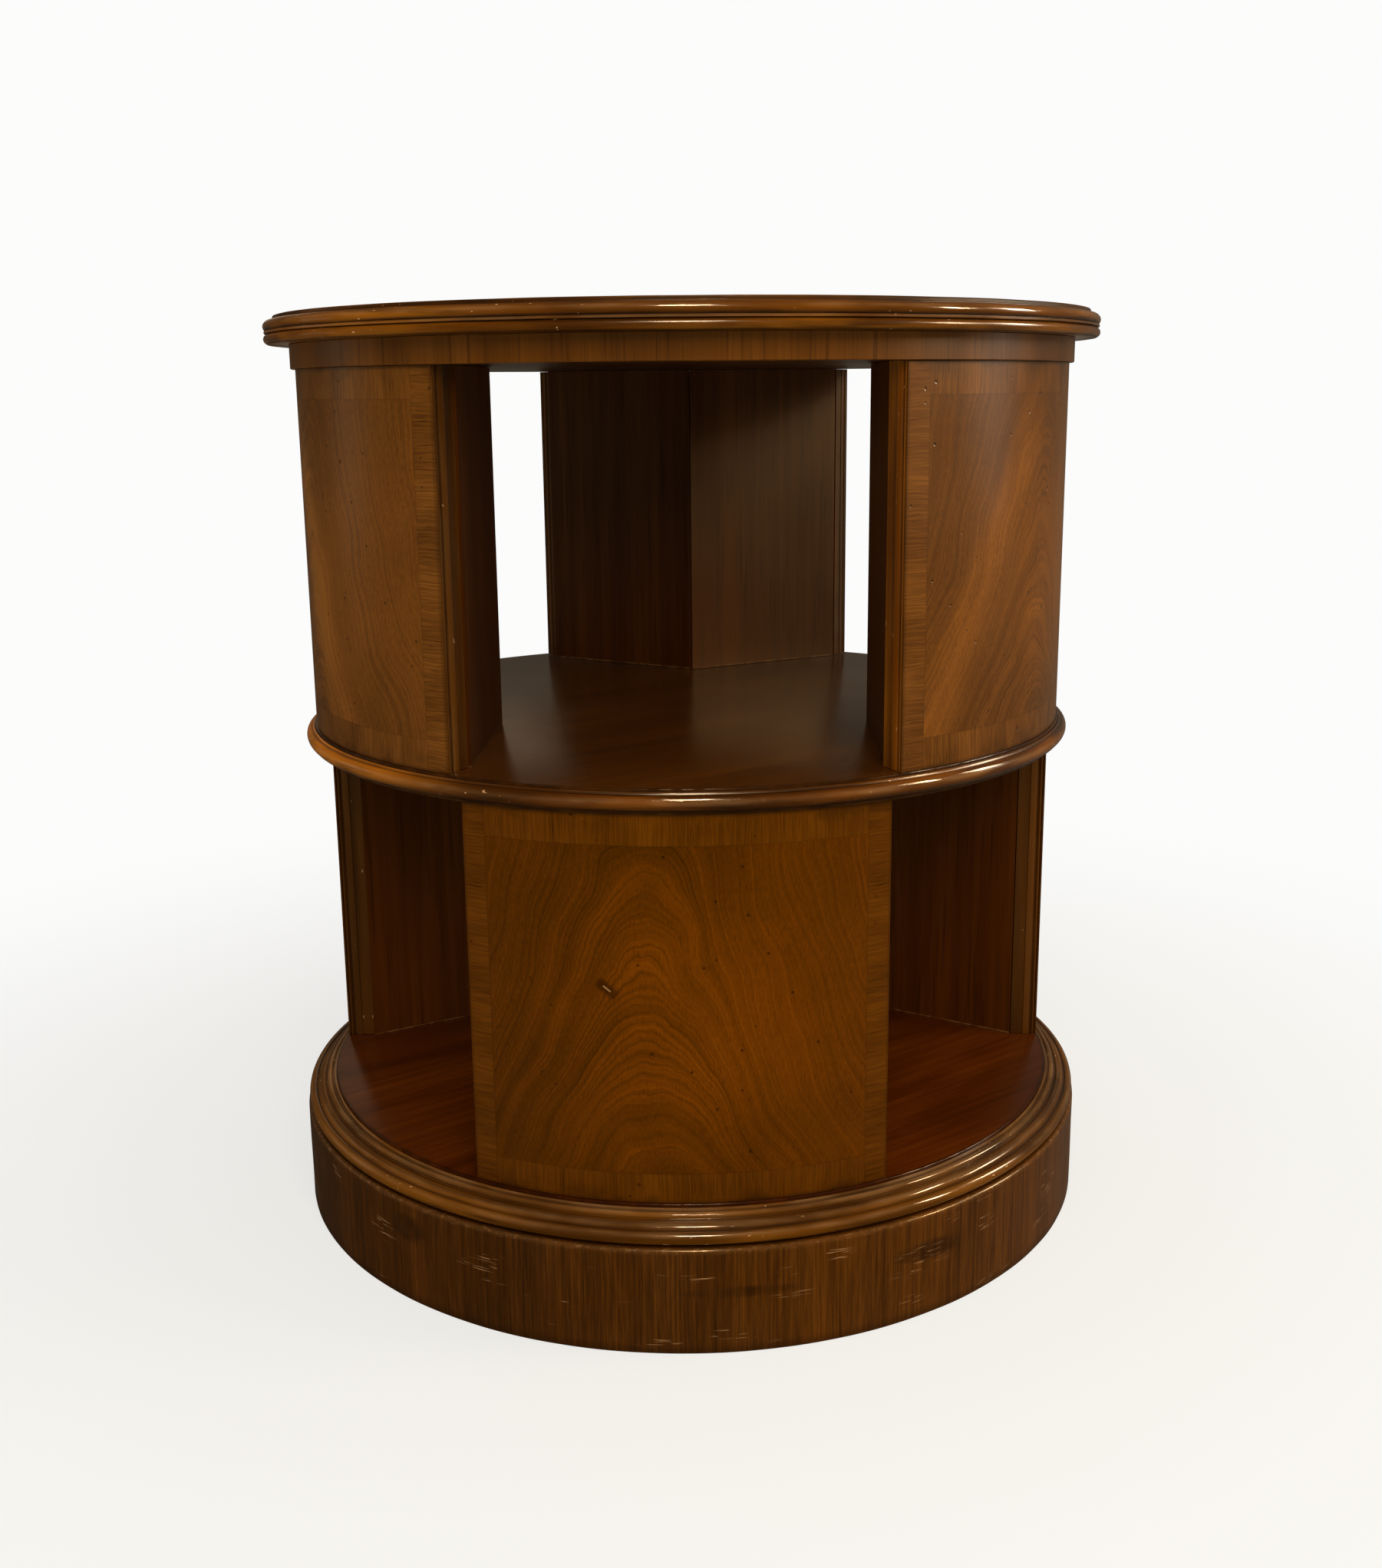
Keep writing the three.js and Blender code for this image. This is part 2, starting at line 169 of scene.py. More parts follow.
def add_floor():
    """A pale floor that takes the object's shadow and fades into the backdrop further out."""
    reach = 30
    mesh = bpy.data.meshes.new("floor")
    corners = [(-reach, -reach, 0), (reach, -reach, 0), (reach, reach, 0), (-reach, reach, 0)]
    mesh.from_pydata(corners, [], [(0, 1, 2, 3)])
    g = Graph("pale_floor")
    distance = g.node("VectorMath", {0: g.place()}, operation="LENGTH").outputs["Value"]
    paint = g.node("BsdfDiffuse", {"Color": (0.80, 0.86, 0.96, 1)})
    glow = g.node("Emission", {"Color": (*BACKDROP, 1)})
    faded = g.node("MixShader", {0: g.band(distance, 0.3, 1.2, 0.65, 1.0)})
    g.put(faded.inputs[1], paint.outputs[0])
    g.put(faded.inputs[2], glow.outputs[0])
    output = g.node("OutputMaterial")
    g.put(output.inputs["Surface"], faded.outputs[0])
    mesh.materials.append(g.material)
    floor = bpy.data.objects.new("floor", mesh)
    floor.visible_glossy = False
    bpy.context.scene.collection.objects.link(floor)


# ------------------------------------------------------------------ node graph helper


def colour(red, green, blue):
    """Screen values from 0 to 255 as a linear colour."""
    def linear(value):
        share = value / 255
        return share / 12.92 if share <= 0.04045 else ((share + 0.055) / 1.055) ** 2.4

    return (linear(red), linear(green), linear(blue), 1.0)


PALE_SHEEN = (1.0, 0.72, 0.42, 1)
GOLDEN_SHEEN = (1.0, 0.62, 0.25, 1)
AMBER_SHEEN = (1.0, 0.55, 0.04, 1)


class Graph:
    """One procedural material. Inputs are numbers, tuples or the sockets of earlier nodes."""

    def __init__(self, name):
        self.material = bpy.data.materials.new(name)
        self.material.use_nodes = True
        self.tree = self.material.node_tree
        self.tree.nodes.clear()

    def node(self, kind, inputs=(), **settings):
        made = self.tree.nodes.new("ShaderNode" + kind)
        for key, value in settings.items():
            setattr(made, key, value)
        for key, value in dict(inputs).items():
            self.put(made.inputs[key], value)
        return made

    def put(self, socket, value):
        if isinstance(value, bpy.types.NodeSocket):
            self.tree.links.new(value, socket)
        else:
            socket.default_value = value

    def maths(self, operation, *values):
        return self.node("Math", enumerate(values), operation=operation).outputs[0]

    def add(self, a, b):
        return self.maths("ADD", a, b)

    def sub(self, a, b):
        return self.maths("SUBTRACT", a, b)

    def mul(self, a, b):
        return self.maths("MULTIPLY", a, b)

    def largest(self, a, b):
        return self.maths("MAXIMUM", a, b)

    def smallest(self, a, b):
        return self.maths("MINIMUM", a, b)

    def vector(self, x, y, z=0.0):
        return self.node("CombineXYZ", enumerate((x, y, z))).outputs[0]

    def split(self, vector):
        return self.node("SeparateXYZ", {0: vector}).outputs

    def grain(self):
        return self.node("UVMap", uv_map=GRAIN_MAP).outputs[0]

    def place(self):
        return self.node("TexCoord").outputs["Object"]

    def round_ring(self, around, across, seed=0.0):
        """Noise coordinates on a turned piece, without a seam.

        around and across are cycles per metre round it and across its profile.
        """
        x, y, _ = self.split(self.place())
        _, v, _ = self.split(self.grain())
        return self.vector(self.mul(x, around), self.mul(y, around), self.add(self.mul(v, across), seed))

    def noise(self, vector, scale, detail=2.0, rough=0.5, distortion=0.0):
        values = {"Vector": vector, "Scale": scale, "Detail": detail, "Roughness": rough}
        return self.node("TexNoise", {**values, "Distortion": distortion}).outputs[0]

    def stretch(self, vector, scale):
        return self.node("VectorMath", {0: vector, 1: scale}, operation="MULTIPLY").outputs[0]

    def shift(self, vector, offset):
        return self.node("VectorMath", {0: vector, 1: offset}, operation="ADD").outputs[0]

    def cells(self, vector, scale, **settings):
        return self.node("TexVoronoi", {"Vector": vector, "Scale": scale}, **settings).outputs

    def band(self, value, low, high, out_low=0.0, out_high=1.0):
        """value taken smoothly from low..high to out_low..out_high, and held beyond."""
        limits = {"From Min": low, "From Max": high, "To Min": out_low, "To Max": out_high}
        made = self.node("MapRange", {"Value": value, **limits}, interpolation_type="SMOOTHSTEP")
        return made.outputs[0]

    def attribute(self, name):
        return self.node("Attribute", attribute_name=name).outputs["Fac"]

    def mix(self, share, a, b):
        return self.node("Mix", {0: share, 6: a, 7: b}, data_type="RGBA").outputs[2]

    def ramp(self, value, places, tones):
        made = self.node("ValToRGB", {0: value})
        points = made.color_ramp.elements
        while len(points) < len(places):
            points.new(0.5)
        for point, place, tone in zip(points, places, tones):
            point.position = place
            point.color = tone
        return made.outputs[0]

    def polish(self, base, roughness, height, depth, specular=0.4, sheen=PALE_SHEEN, metallic=0.0):
        """The surface shader. height is a field from 0 to 1 and depth how deep it goes in metres."""
        bump = self.node("Bump", {"Height": height, "Distance": depth, "Strength": 1.0})
        shader = self.node("BsdfPrincipled", {"Base Color": base, "Roughness": roughness})
        shader.inputs["Metallic"].default_value = metallic
        shader.inputs["Specular IOR Level"].default_value = specular
        if not metallic:
            shader.inputs["Specular Tint"].default_value = sheen
        self.put(shader.inputs["Normal"], bump.outputs[0])
        output = self.node("OutputMaterial")
        self.put(output.inputs["Surface"], shader.outputs[0])
        return self.material


# ------------------------------------------------------------------ wood

# Dark of dirt, dents, pores and joints, and also painted shade laid in recesses, creases and undersides.
DARK_DIRT_AND_SHADE = colour(20, 8, 2)
# Pale of knocks, scratches, scuffs and dust, and also a painted highlight on edges and crests.
PALE_WEAR_AND_HIGHLIGHT = colour(196, 150, 104)
SUN_BLEACH = colour(204, 120, 20)


def open_pores(g, across, along, seed):
    """Short dark dashes of the grain: across and along are metres across and along it."""
    streaks = g.noise(g.vector(g.mul(across, 1500), g.mul(along, 90), seed), 1.0, 3.0, 0.6)
    return g.band(streaks, 0.52, 0.72)


def specks(g, place, scale, share, radius):
    """Small round marks: about one cell in 1/share holds one, radius is in cells."""
    found = g.cells(place, scale)
    chosen = g.maths("LESS_THAN", g.split(found["Color"])[0], share)
    return g.mul(chosen, g.band(found["Distance"], radius, radius * 0.4))


def crossband(g, across, along, seed, tones):
    """Wood of a border whose short grain runs across it: fine irregular lines and a few darker ones."""
    waver = g.mul(g.sub(g.noise(g.vector(g.mul(across, 40), g.mul(along, 35), seed), 1.0), 0.5), 0.003)
    wavy = g.add(along, waver)
    lines = g.noise(g.vector(g.mul(across, 30), g.mul(wavy, 900), seed + 3.0), 1.0, 2.0, 0.6)
    patches = g.noise(g.vector(g.mul(across, 12), g.mul(along, 30), seed + 7.0), 1.0, 2.0)
    tone = g.add(g.mul(g.band(lines, 0.3, 0.7), 0.5), g.mul(g.band(patches, 0.25, 0.75), 0.4))
    wood = g.ramp(tone, (0.05, 0.5, 0.95), tones)
    dark = g.noise(g.vector(g.mul(across, 45), g.mul(wavy, 1100), seed + 11.0), 1.0, 1.0, 0.5)
    dark = g.mul(g.band(dark, 0.60, 0.72), g.band(patches, 0.62, 0.38, 0.1, 0.7))
    return g.mix(dark, wood, colour(40, 16, 0))


SIDE_BAND = 17.5 * MM
END_BAND = 20.5 * MM


class PanelLook:
    """How a tier's panels are toned: field and border from dark to light, their sheen and how pitted."""

    def __init__(self, field, border, sheen, pitted):
        self.field = [colour(*tone) for tone in field]
        self.border = [colour(*tone) for tone in border]
        self.sheen = sheen
        self.pitted = pitted


LOWER_LOOK = PanelLook(
    field=((52, 25, 0), (73, 36, 0), (93, 45, 0), (110, 56, 2)),
    border=((60, 30, 1), (78, 40, 2), (94, 51, 4)),
    sheen=AMBER_SHEEN,
    pitted=0.14,
)
UPPER_LOOK = PanelLook(
    field=((64, 34, 3), (86, 49, 7), (108, 62, 11), (132, 80, 19)),
    border=((70, 38, 4), (92, 53, 9), (116, 70, 18)),
    sheen=PALE_SHEEN,
    pitted=0.22,
)


def flame_veneer(name, half_width, height, seed, apex, lean, look, bruise, flare):
    """A crossbanded panel: nested arches of flame figure climb its middle inside a border of short grain.

    apex is where across the panel the arches peak at mid height, and lean how that shifts with height.
    bruise is where one knock lies, and flare (middle, lean, half width) a paler streak climbing it.
    u runs across the panel from its middle and v up it from its foot, in metres.
    """
    g = Graph(name)
    u, v, _ = g.split(g.grain())
    field_at = g.vector(g.mul(u, 11), g.mul(v, 11), seed)
    wide_u = g.sub(g.noise(field_at, 1.0, 1.0), 0.5)
    wide_v = g.sub(g.noise(g.shift(field_at, (7.3, 2.1, 4.0)), 1.0, 1.0), 0.5)
    ripple = g.sub(g.noise(g.vector(g.mul(u, 38), g.mul(v, 22), seed + 2.0), 1.0, 2.0, 0.55), 0.5)
    ragged = g.sub(g.noise(g.vector(g.mul(u, 170), g.mul(v, 110), seed + 4.0), 1.0, 2.0), 0.5)
    peak = g.add(apex, g.mul(g.sub(v, height / 2), lean))
    from_peak = g.add(g.sub(u, peak), g.mul(wide_u, 0.04))
    square = g.mul(from_peak, from_peak)
    blunt = 0.045
    arm = g.sub(g.maths("SQRT", g.add(square, blunt * blunt)), blunt)
    steeper = g.band(from_peak, -0.03, 0.06, 0.8, 1.7)
    flatter_foot = g.band(v, 0.0, 0.16, 0.6, 1.0)
    arch = g.mul(g.add(g.mul(arm, 1.7), g.mul(square, 16.0)), g.mul(steeper, flatter_foot))
    uneven = g.add(g.mul(ripple, 0.018), g.mul(ragged, 0.0026))
    rings = g.add(g.add(v, arch), g.add(g.mul(wide_v, 0.04), uneven))
    broad = g.noise(g.vector(g.mul(rings, 38), seed, 0.0), 1.0, 2.0, 0.5)
    growth = g.noise(g.vector(g.mul(rings, 130), seed + 3.0, 0.0), 1.0, 3.0, 0.62)
    lines = g.noise(g.vector(g.mul(rings, 520), g.mul(u, 5), seed + 5.0), 1.0, 2.0, 0.5)
    spacing = g.noise(g.vector(g.mul(rings, 45), seed + 8.0, 0.0), 1.0)
    steps = g.maths("FRACT", g.add(g.mul(rings, 150), g.mul(spacing, 3.0)))
    edges = g.mul(g.band(steps, 0.0, 0.03), g.band(steps, 0.45, 0.05))
    clear = g.noise(g.vector(g.mul(u, 14), g.mul(v, 14), seed + 15.0), 1.0, 2.0)
    clear = g.band(clear, 0.4, 0.62, 0.15, 1.0)
    mottle = g.noise(g.vector(g.mul(u, 22), g.mul(v, 13), seed + 9.0), 1.0, 3.0, 0.6)
    fleck = g.noise(g.vector(g.mul(u, 700), g.mul(v, 260), seed + 6.0), 1.0, 2.0, 0.6)
    # Partly the figure's own paler heart, partly painted light: the field is lighter round the middle of
    # the figure and darker towards its top and bottom.
    off_centre = g.maths("ABSOLUTE", g.sub(u, apex + 0.022))
    off_middle = g.maths("ABSOLUTE", g.sub(v, height * 0.46))
    glow = g.mul(g.band(off_centre, 0.125, 0.01, 0.1, 1.0), g.band(off_middle, 0.125, 0.02, 0.15, 1.0))
    tone = g.add(g.mul(g.band(broad, 0.32, 0.68), 0.18), g.mul(g.band(growth, 0.33, 0.67), 0.20))
    tone = g.add(tone, g.mul(g.band(lines, 0.35, 0.65), 0.10))
    tone = g.add(tone, g.add(g.mul(g.band(mottle, 0.3, 0.7), 0.12), g.mul(g.band(fleck, 0.3, 0.7), 0.14)))
    # Painted light: each panel is painted lighter towards its right side, where the daylight falls.
    tone = g.add(g.add(tone, g.mul(glow, 0.34)), g.band(u, 0.02, 0.12, 0.0, 0.12))
    tone = g.sub(tone, g.mul(g.mul(edges, clear), 0.22))
    if flare:
        middle, slant, reach = flare
        at_flare = g.add(middle, g.mul(g.sub(v, height / 2), slant))
        off_flare = g.maths("ABSOLUTE", g.sub(g.add(u, g.mul(wide_v, 0.02)), at_flare))
        lit = g.mul(g.band(off_flare, reach, reach * 0.2), g.band(v, height, height * 0.7))
        tone = g.add(tone, g.mul(lit, 0.3))
    field = g.ramp(tone, (0.08, 0.42, 0.72, 1.0), look.field)
    pores = open_pores(g, u, v, seed)
    field = g.mix(g.mul(pores, 0.42), field, colour(38, 13, 0))

    to_side = g.sub(half_width, g.maths("ABSOLUTE", u))
    to_end = g.smallest(v, g.sub(height, v))
    side = crossband(g, to_side, v, seed + 20.0, look.border)
    end = crossband(g, to_end, u, seed + 40.0, look.border)
    in_side = g.maths("LESS_THAN", to_side, SIDE_BAND)
    in_end = g.maths("LESS_THAN", to_end, END_BAND)
    wood = g.mix(in_side, g.mix(in_end, field, end), side)

    side_joint = g.band(g.maths("ABSOLUTE", g.sub(to_side, SIDE_BAND)), 0.0009, 0.0002)
    end_joint = g.band(g.maths("ABSOLUTE", g.sub(to_end, END_BAND)), 0.0009, 0.0002)
    joint = g.largest(side_joint, g.mul(end_joint, g.sub(1.0, in_side)))
    wood = g.mix(g.mul(joint, 0.16), wood, DARK_DIRT_AND_SHADE)

    marks = specks(g, g.grain(), 120.0, look.pitted, 0.17)
    dents = specks(g, g.shift(g.grain(), (3.1, 1.7, 0)), 55.0, look.pitted, 0.11)
    wood = g.mix(g.largest(g.mul(marks, 0.7), g.mul(dents, 0.5)), wood, DARK_DIRT_AND_SHADE)
    # Darker in patches within 16 mm of the panel's top and bottom.
    end_patches = g.noise(g.vector(g.mul(u, 30), g.mul(v, 40), seed + 13.0), 1.0, 3.0, 0.6)
    near_end = g.mul(g.band(to_end, 0.016, 0.0), g.band(end_patches, 0.45, 0.62))
    wood = g.mix(g.mul(near_end, 0.4), wood, DARK_DIRT_AND_SHADE)
    # Painted shade: darker within 3 mm of the panel's edges, where it meets the strips, nosing and
    # mouldings.
    wood = g.mix(g.band(g.smallest(to_side, to_end), 0.003, 0.0, 0.0, 0.4), wood, DARK_DIRT_AND_SHADE)
    if bruise:
        wood = bruised(g, wood, u, v, *bruise)

    smear = g.noise(g.stretch(g.grain(), (16, 10, 1)), 1.0, 3.0)
    roughness = g.band(smear, 0.15, 0.85, 0.25, 0.32)
    relief = g.sub(1.0, g.largest(g.mul(marks, 0.5), dents))
    return g.polish(wood, roughness, relief, 0.0003, specular=0.36, sheen=look.sheen)


def bruised(g, wood, u, v, at_u, at_v):
    """A short dark knock at (at_u, at_v), slanting down to the right, with a pale scratch along it."""
    du, dv = g.sub(u, at_u), g.sub(v, at_v)
    along = g.maths("ABSOLUTE", g.add(g.mul(du, 0.78), g.mul(dv, -0.62)))
    across = g.maths("ABSOLUTE", g.add(g.mul(du, 0.62), g.mul(dv, 0.78)))
    patch = g.mul(g.band(along, 0.0105, 0.005), g.band(across, 0.0054, 0.0015))
    scratch = g.mul(g.band(along, 0.0035, 0.0025), g.band(across, 0.0008, 0.0002))
    return g.mix(g.mul(scratch, 0.4), g.mix(g.mul(patch, 0.62), wood, DARK_DIRT_AND_SHADE), PALE_WEAR_AND_HIGHLIGHT)


def upright_veneer(
    name, tones, seed, gloss=(0.27, 0.34), streak=150.0, figure=0.5, floors=(), sheen=PALE_SHEEN
):
    """Plain veneer with its grain upright, from solid noise, so it suits a board at any angle.

    gloss is its range of roughness, streak the streaks in a metre, and figure how much broad bands count
    against them. Dust lies along its foot where it meets one of the floors, given as heights.
    """
    g = Graph(name)
    place = g.place()
    broad = g.noise(g.shift(g.stretch(place, (26, 26, 1.6)), (seed, 0, 0)), 1.0, 2.0)
    narrow = g.noise(g.shift(g.stretch(place, (streak, streak, 3.0)), (0, seed, 0)), 1.0, 2.0, 0.6)
    hairs = g.noise(g.shift(g.stretch(place, (430, 430, 14)), (0, 0, seed)), 1.0, 1.0, 0.5)
    tone = g.add(g.mul(g.band(broad, 0.3, 0.7), figure), g.mul(g.band(narrow, 0.3, 0.7), 0.85 - figure))
    tone = g.add(tone, g.mul(hairs, 0.15))
    wood = g.ramp(tone, (0.1, 0.5, 0.92), tones)
    pores = g.band(hairs, 0.56, 0.72)
    wood = g.mix(g.mul(pores, 0.4), wood, DARK_DIRT_AND_SHADE)
    height = g.split(place)[2]
    for floor in floors:
        above = g.maths("ABSOLUTE", g.sub(height, floor))
        thickness = g.band(g.noise(place, 160.0, 2.0), 0.4, 0.6, 0.05, 0.25)
        dust = g.mul(g.band(above, 0.0016, 0.0006), thickness)
        wood = g.mix(dust, wood, PALE_WEAR_AND_HIGHLIGHT)
    roughness = g.band(g.noise(place, 14.0, 2.0), 0.15, 0.85, *gloss)
    return g.polish(wood, roughness, g.sub(1.0, pores), 0.00003, specular=0.32, sheen=sheen)


# Painted light: lit, half-shaded and shaded copies of the strips' wood, by how light falls on them.
LIT_LIPPING_TONES = (colour(88, 44, 3), colour(116, 64, 8), colour(144, 86, 16))
HALF_SHADED_LIPPING_TONES = (colour(50, 26, 3), colour(68, 37, 6), colour(86, 50, 11))
SHADED_LIPPING_TONES = (colour(55, 28, 2), colour(71, 38, 3), colour(86, 47, 6))


def lipping_wood(name, tones, gloss, recess_darkening):
    """Upright solid mahogany of the strips on the panels' ends, with the range of roughness in gloss.

    The last argument is how dark painted shade and soiling make their grooves and sunk flats.
    """
    g = Graph(name)
    place = g.place()
    broad = g.noise(g.stretch(place, (60, 60, 4)), 1.0, 2.0)
    fibre = g.noise(g.stretch(place, (900, 900, 14)), 1.0, 3.0, 0.6)
    tone = g.add(g.mul(g.band(broad, 0.3, 0.7), 0.6), g.mul(fibre, 0.4))
    wood = g.ramp(tone, (0.15, 0.5, 0.9), tones)
    patchy = g.band(g.noise(g.stretch(place, (200, 200, 30)), 1.0, 2.0), 0.3, 0.6, 0.75, 1.0)
    # Painted shade and soiling darken the grooves and sunk flats.
    shade_and_grime = g.mul(g.attribute("shade_and_grime"), patchy)
    wood = g.mix(g.mul(shade_and_grime, recess_darkening), wood, DARK_DIRT_AND_SHADE)
    nicks = g.band(g.noise(g.stretch(place, (300, 300, 120)), 1.0, 1.0), 0.76, 0.80)
    wood = g.mix(g.mul(nicks, 0.35), wood, PALE_WEAR_AND_HIGHLIGHT)
    roughness = g.band(g.noise(place, 30.0, 2.0), 0.3, 0.7, *gloss)
    relief = g.sub(1.0, g.largest(nicks, g.mul(g.band(fibre, 0.55, 0.75), 0.2)))
    return g.polish(wood, roughness, relief, 0.0002, specular=0.36, sheen=GOLDEN_SHEEN)


TOP_TONES = (colour(64, 32, 1), colour(94, 51, 3), colour(126, 75, 9))
BASE_TONES = (colour(56, 29, 1), colour(81, 45, 3), colour(108, 64, 9))
NOSING_TONES = (colour(46, 22, 2), colour(69, 34, 3), colour(114, 63, 8))


def moulding_wood(name, seed, tones, bleached):
    """Solid mahogany run round a moulding: painted shade and gathered polish darken its recesses and
    undersides, it is knocked pale in places, and its crests are paler from rubbing and a painted
    highlight.

    bleached is how far the sun has turned its left side orange.
    """
    g = Graph(name)
    drift = g.noise(g.round_ring(7, 50, seed), 1.0, 2.0)
    fibre = g.noise(g.round_ring(26, 900, seed + 2.0), 1.0, 3.0, 0.6)
    tone = g.add(g.mul(g.band(drift, 0.3, 0.7), 0.6), g.mul(fibre, 0.4))
    wood = g.ramp(tone, (0.15, 0.5, 0.9), tones)
    sunned = g.band(g.split(g.place())[0], -0.12, -0.24, 0.0, bleached)
    wood = g.mix(g.mul(sunned, g.band(tone, 0.2, 0.6, 0.5, 1.0)), wood, SUN_BLEACH)
    stain = g.band(g.noise(g.round_ring(11, 130, seed + 12.0), 1.0, 3.0, 0.6), 0.5, 0.7, 0.0, 0.6)
    wood = g.mix(stain, wood, DARK_DIRT_AND_SHADE)
    patchy = g.band(g.noise(g.round_ring(30, 200, seed + 4.0), 1.0, 3.0), 0.25, 0.6, 0.7, 1.0)
    # Painted shade, with some gathered polish, darkens the recesses and undersides.
    shade_and_grime = g.mul(g.attribute("shade_and_grime"), patchy)
    wood = g.mix(g.mul(shade_and_grime, 0.95), wood, DARK_DIRT_AND_SHADE)
    nicks = g.mul(
        g.band(g.noise(g.round_ring(190, 420, seed + 8.0), 1.0, 1.0), 0.73, 0.78),
        g.band(g.noise(g.round_ring(9, 9, seed + 9.0), 1.0, 1.0), 0.45, 0.55),
    )
    wood = g.mix(g.mul(nicks, 0.75), wood, PALE_WEAR_AND_HIGHLIGHT)
    # Crests and edges painted paler: polish thinned by rubbing, and partly a painted highlight.
    rubbed_and_highlit = g.band(g.noise(g.round_ring(24, 90, seed + 6.0), 1.0, 2.0, 0.5), 0.35, 0.7, 0.08, 0.3)
    wood = g.mix(g.mul(g.attribute("wear_and_highlight"), rubbed_and_highlit), wood, PALE_WEAR_AND_HIGHLIGHT)
    roughness = g.band(g.noise(g.round_ring(16, 120, seed), 1.0, 2.0), 0.2, 0.8, 0.06, 0.15)
    roughness = g.add(roughness, g.mul(shade_and_grime, 0.3))
    relief = g.sub(1.0, g.largest(nicks, g.mul(g.band(fibre, 0.55, 0.75), 0.15)))
    return g.polish(wood, roughness, relief, 0.00025, specular=0.5)


SCUFFS = (
    # on the plinth: angle from the front in degrees, height, half width and half height in millimetres
    (-43, 45, 17, 8),
    (-24, 36, 8, 3),
    (-17, 33, 15, 2),
    (-7, 38, 7, 3),
    (2, 57, 11, 5),
    (14.5, 40, 8, 3),
    (6.5, 13.5, 16, 5),
    (19.5, 64, 11, 6),
    (31, 42, 28, 11),
    (30.5, 13.5, 14, 5),
    (36, 66, 10, 4),
    (43.5, 51, 13, 7),
    (59.5, 45, 15, 16),
)
SMEARS = ((7, 44, 36, 4), (33, 48, 30, 7), (-38, 55, 18, 10))


def plinth_veneer(name, radius):
    """Dark upright veneer round the radius given, scuffed by feet and brooms, its upper edge paler from
    rubbing and a painted highlight, with painted shade on its top and painted light that darkens its left
    and lightens its right.
    """
    g = Graph(name)
    x, y, z = g.split(g.place())
    around = g.mul(g.maths("ARCTAN2", x, g.mul(y, -1.0)), radius)

    def within(patches, reach):
        """How far inside the nearest patch the surface lies, ragged at the patch's edge."""
        inside = 0.0
        for angle, height, half_width, half_height in patches:
            across = g.mul(g.sub(around, math.radians(angle) * radius), 1 / (half_width * MM))
            above = g.mul(g.sub(z, height * MM), 1 / (half_height * MM))
            spread = g.add(g.mul(across, across), g.mul(above, above))
            inside = g.largest(inside, g.band(spread, 1.5, 0.3))
        ragged = g.noise(g.round_ring(reach, reach, 31.0), 1.0, 2.0, 0.6)
        return g.mul(inside, g.band(ragged, 0.35, 0.6, 0.2, 1.0))

    streak = g.noise(g.round_ring(440, 5), 1.0, 2.0, 0.6)
    broad = g.noise(g.round_ring(26, 3, 5.0), 1.0, 3.0, 0.6)
    hairs = g.noise(g.round_ring(1300, 40, 9.0), 1.0, 2.0, 0.6)
    tone = g.add(g.mul(g.band(streak, 0.2, 0.8), 0.36), g.mul(g.band(broad, 0.3, 0.7), 0.3))
    # Painted light: the tone runs darker on the plinth's left and lighter on its right, as the light
    # falls.
    tone = g.add(tone, g.add(g.mul(g.band(hairs, 0.3, 0.7), 0.34), g.band(x, -0.3, 0.3, -0.16, 0.22)))
    wood = g.ramp(tone, (0.1, 0.5, 0.92), (colour(42, 20, 0), colour(62, 31, 0), colour(87, 47, 2)))
    thin = g.band(g.noise(g.round_ring(560, 9, 21.0), 1.0, 2.0, 0.5), 0.60, 0.68)
    wood = g.mix(g.mul(thin, 0.35), wood, DARK_DIRT_AND_SHADE)
    wood = g.mix(g.mul(within(SMEARS, 30), 0.62), wood, DARK_DIRT_AND_SHADE)
    lines = g.band(g.noise(g.round_ring(60, 1100, 2.0), 1.0, 1.0, 0.4), 0.61, 0.68)
    stray = g.band(g.noise(g.round_ring(20, 60, 8.0), 1.0, 2.0), 0.64, 0.72, 0.0, 0.7)
    pale = g.mul(lines, g.largest(within(SCUFFS, 60), stray))
    wood = g.mix(g.mul(pale, 0.34), wood, PALE_WEAR_AND_HIGHLIGHT)
    chips = g.band(g.noise(g.round_ring(210, 420, 3.0), 1.0, 3.0, 0.6), 0.52, 0.66)
    # The upper arris is painted paler: rubbing and chips, and partly a painted highlight.
    rubbed_and_highlit = g.mul(g.attribute("wear_and_highlight"), g.add(0.06, g.mul(chips, 0.12)))
    wood = g.mix(rubbed_and_highlit, wood, PALE_WEAR_AND_HIGHLIGHT)
    # Painted shade on the plinth's top, in the gap under the base moulding.
    wood = g.mix(g.mul(g.attribute("shade_and_grime"), 0.85), wood, DARK_DIRT_AND_SHADE)
    wood = g.mix(g.band(z, 0.009, 0.0, 0.0, 0.5), wood, DARK_DIRT_AND_SHADE)
    roughness = g.band(g.noise(g.round_ring(22, 22), 1.0, 3.0), 0.15, 0.85, 0.28, 0.40)
    roughness = g.sub(roughness, g.mul(g.attribute("wear_and_highlight"), 0.18))
    relief = g.sub(1.0, g.mul(rubbed_and_highlit, 1.2))
    return g.polish(wood, roughness, relief, 0.0002, specular=0.36, sheen=GOLDEN_SHEEN)


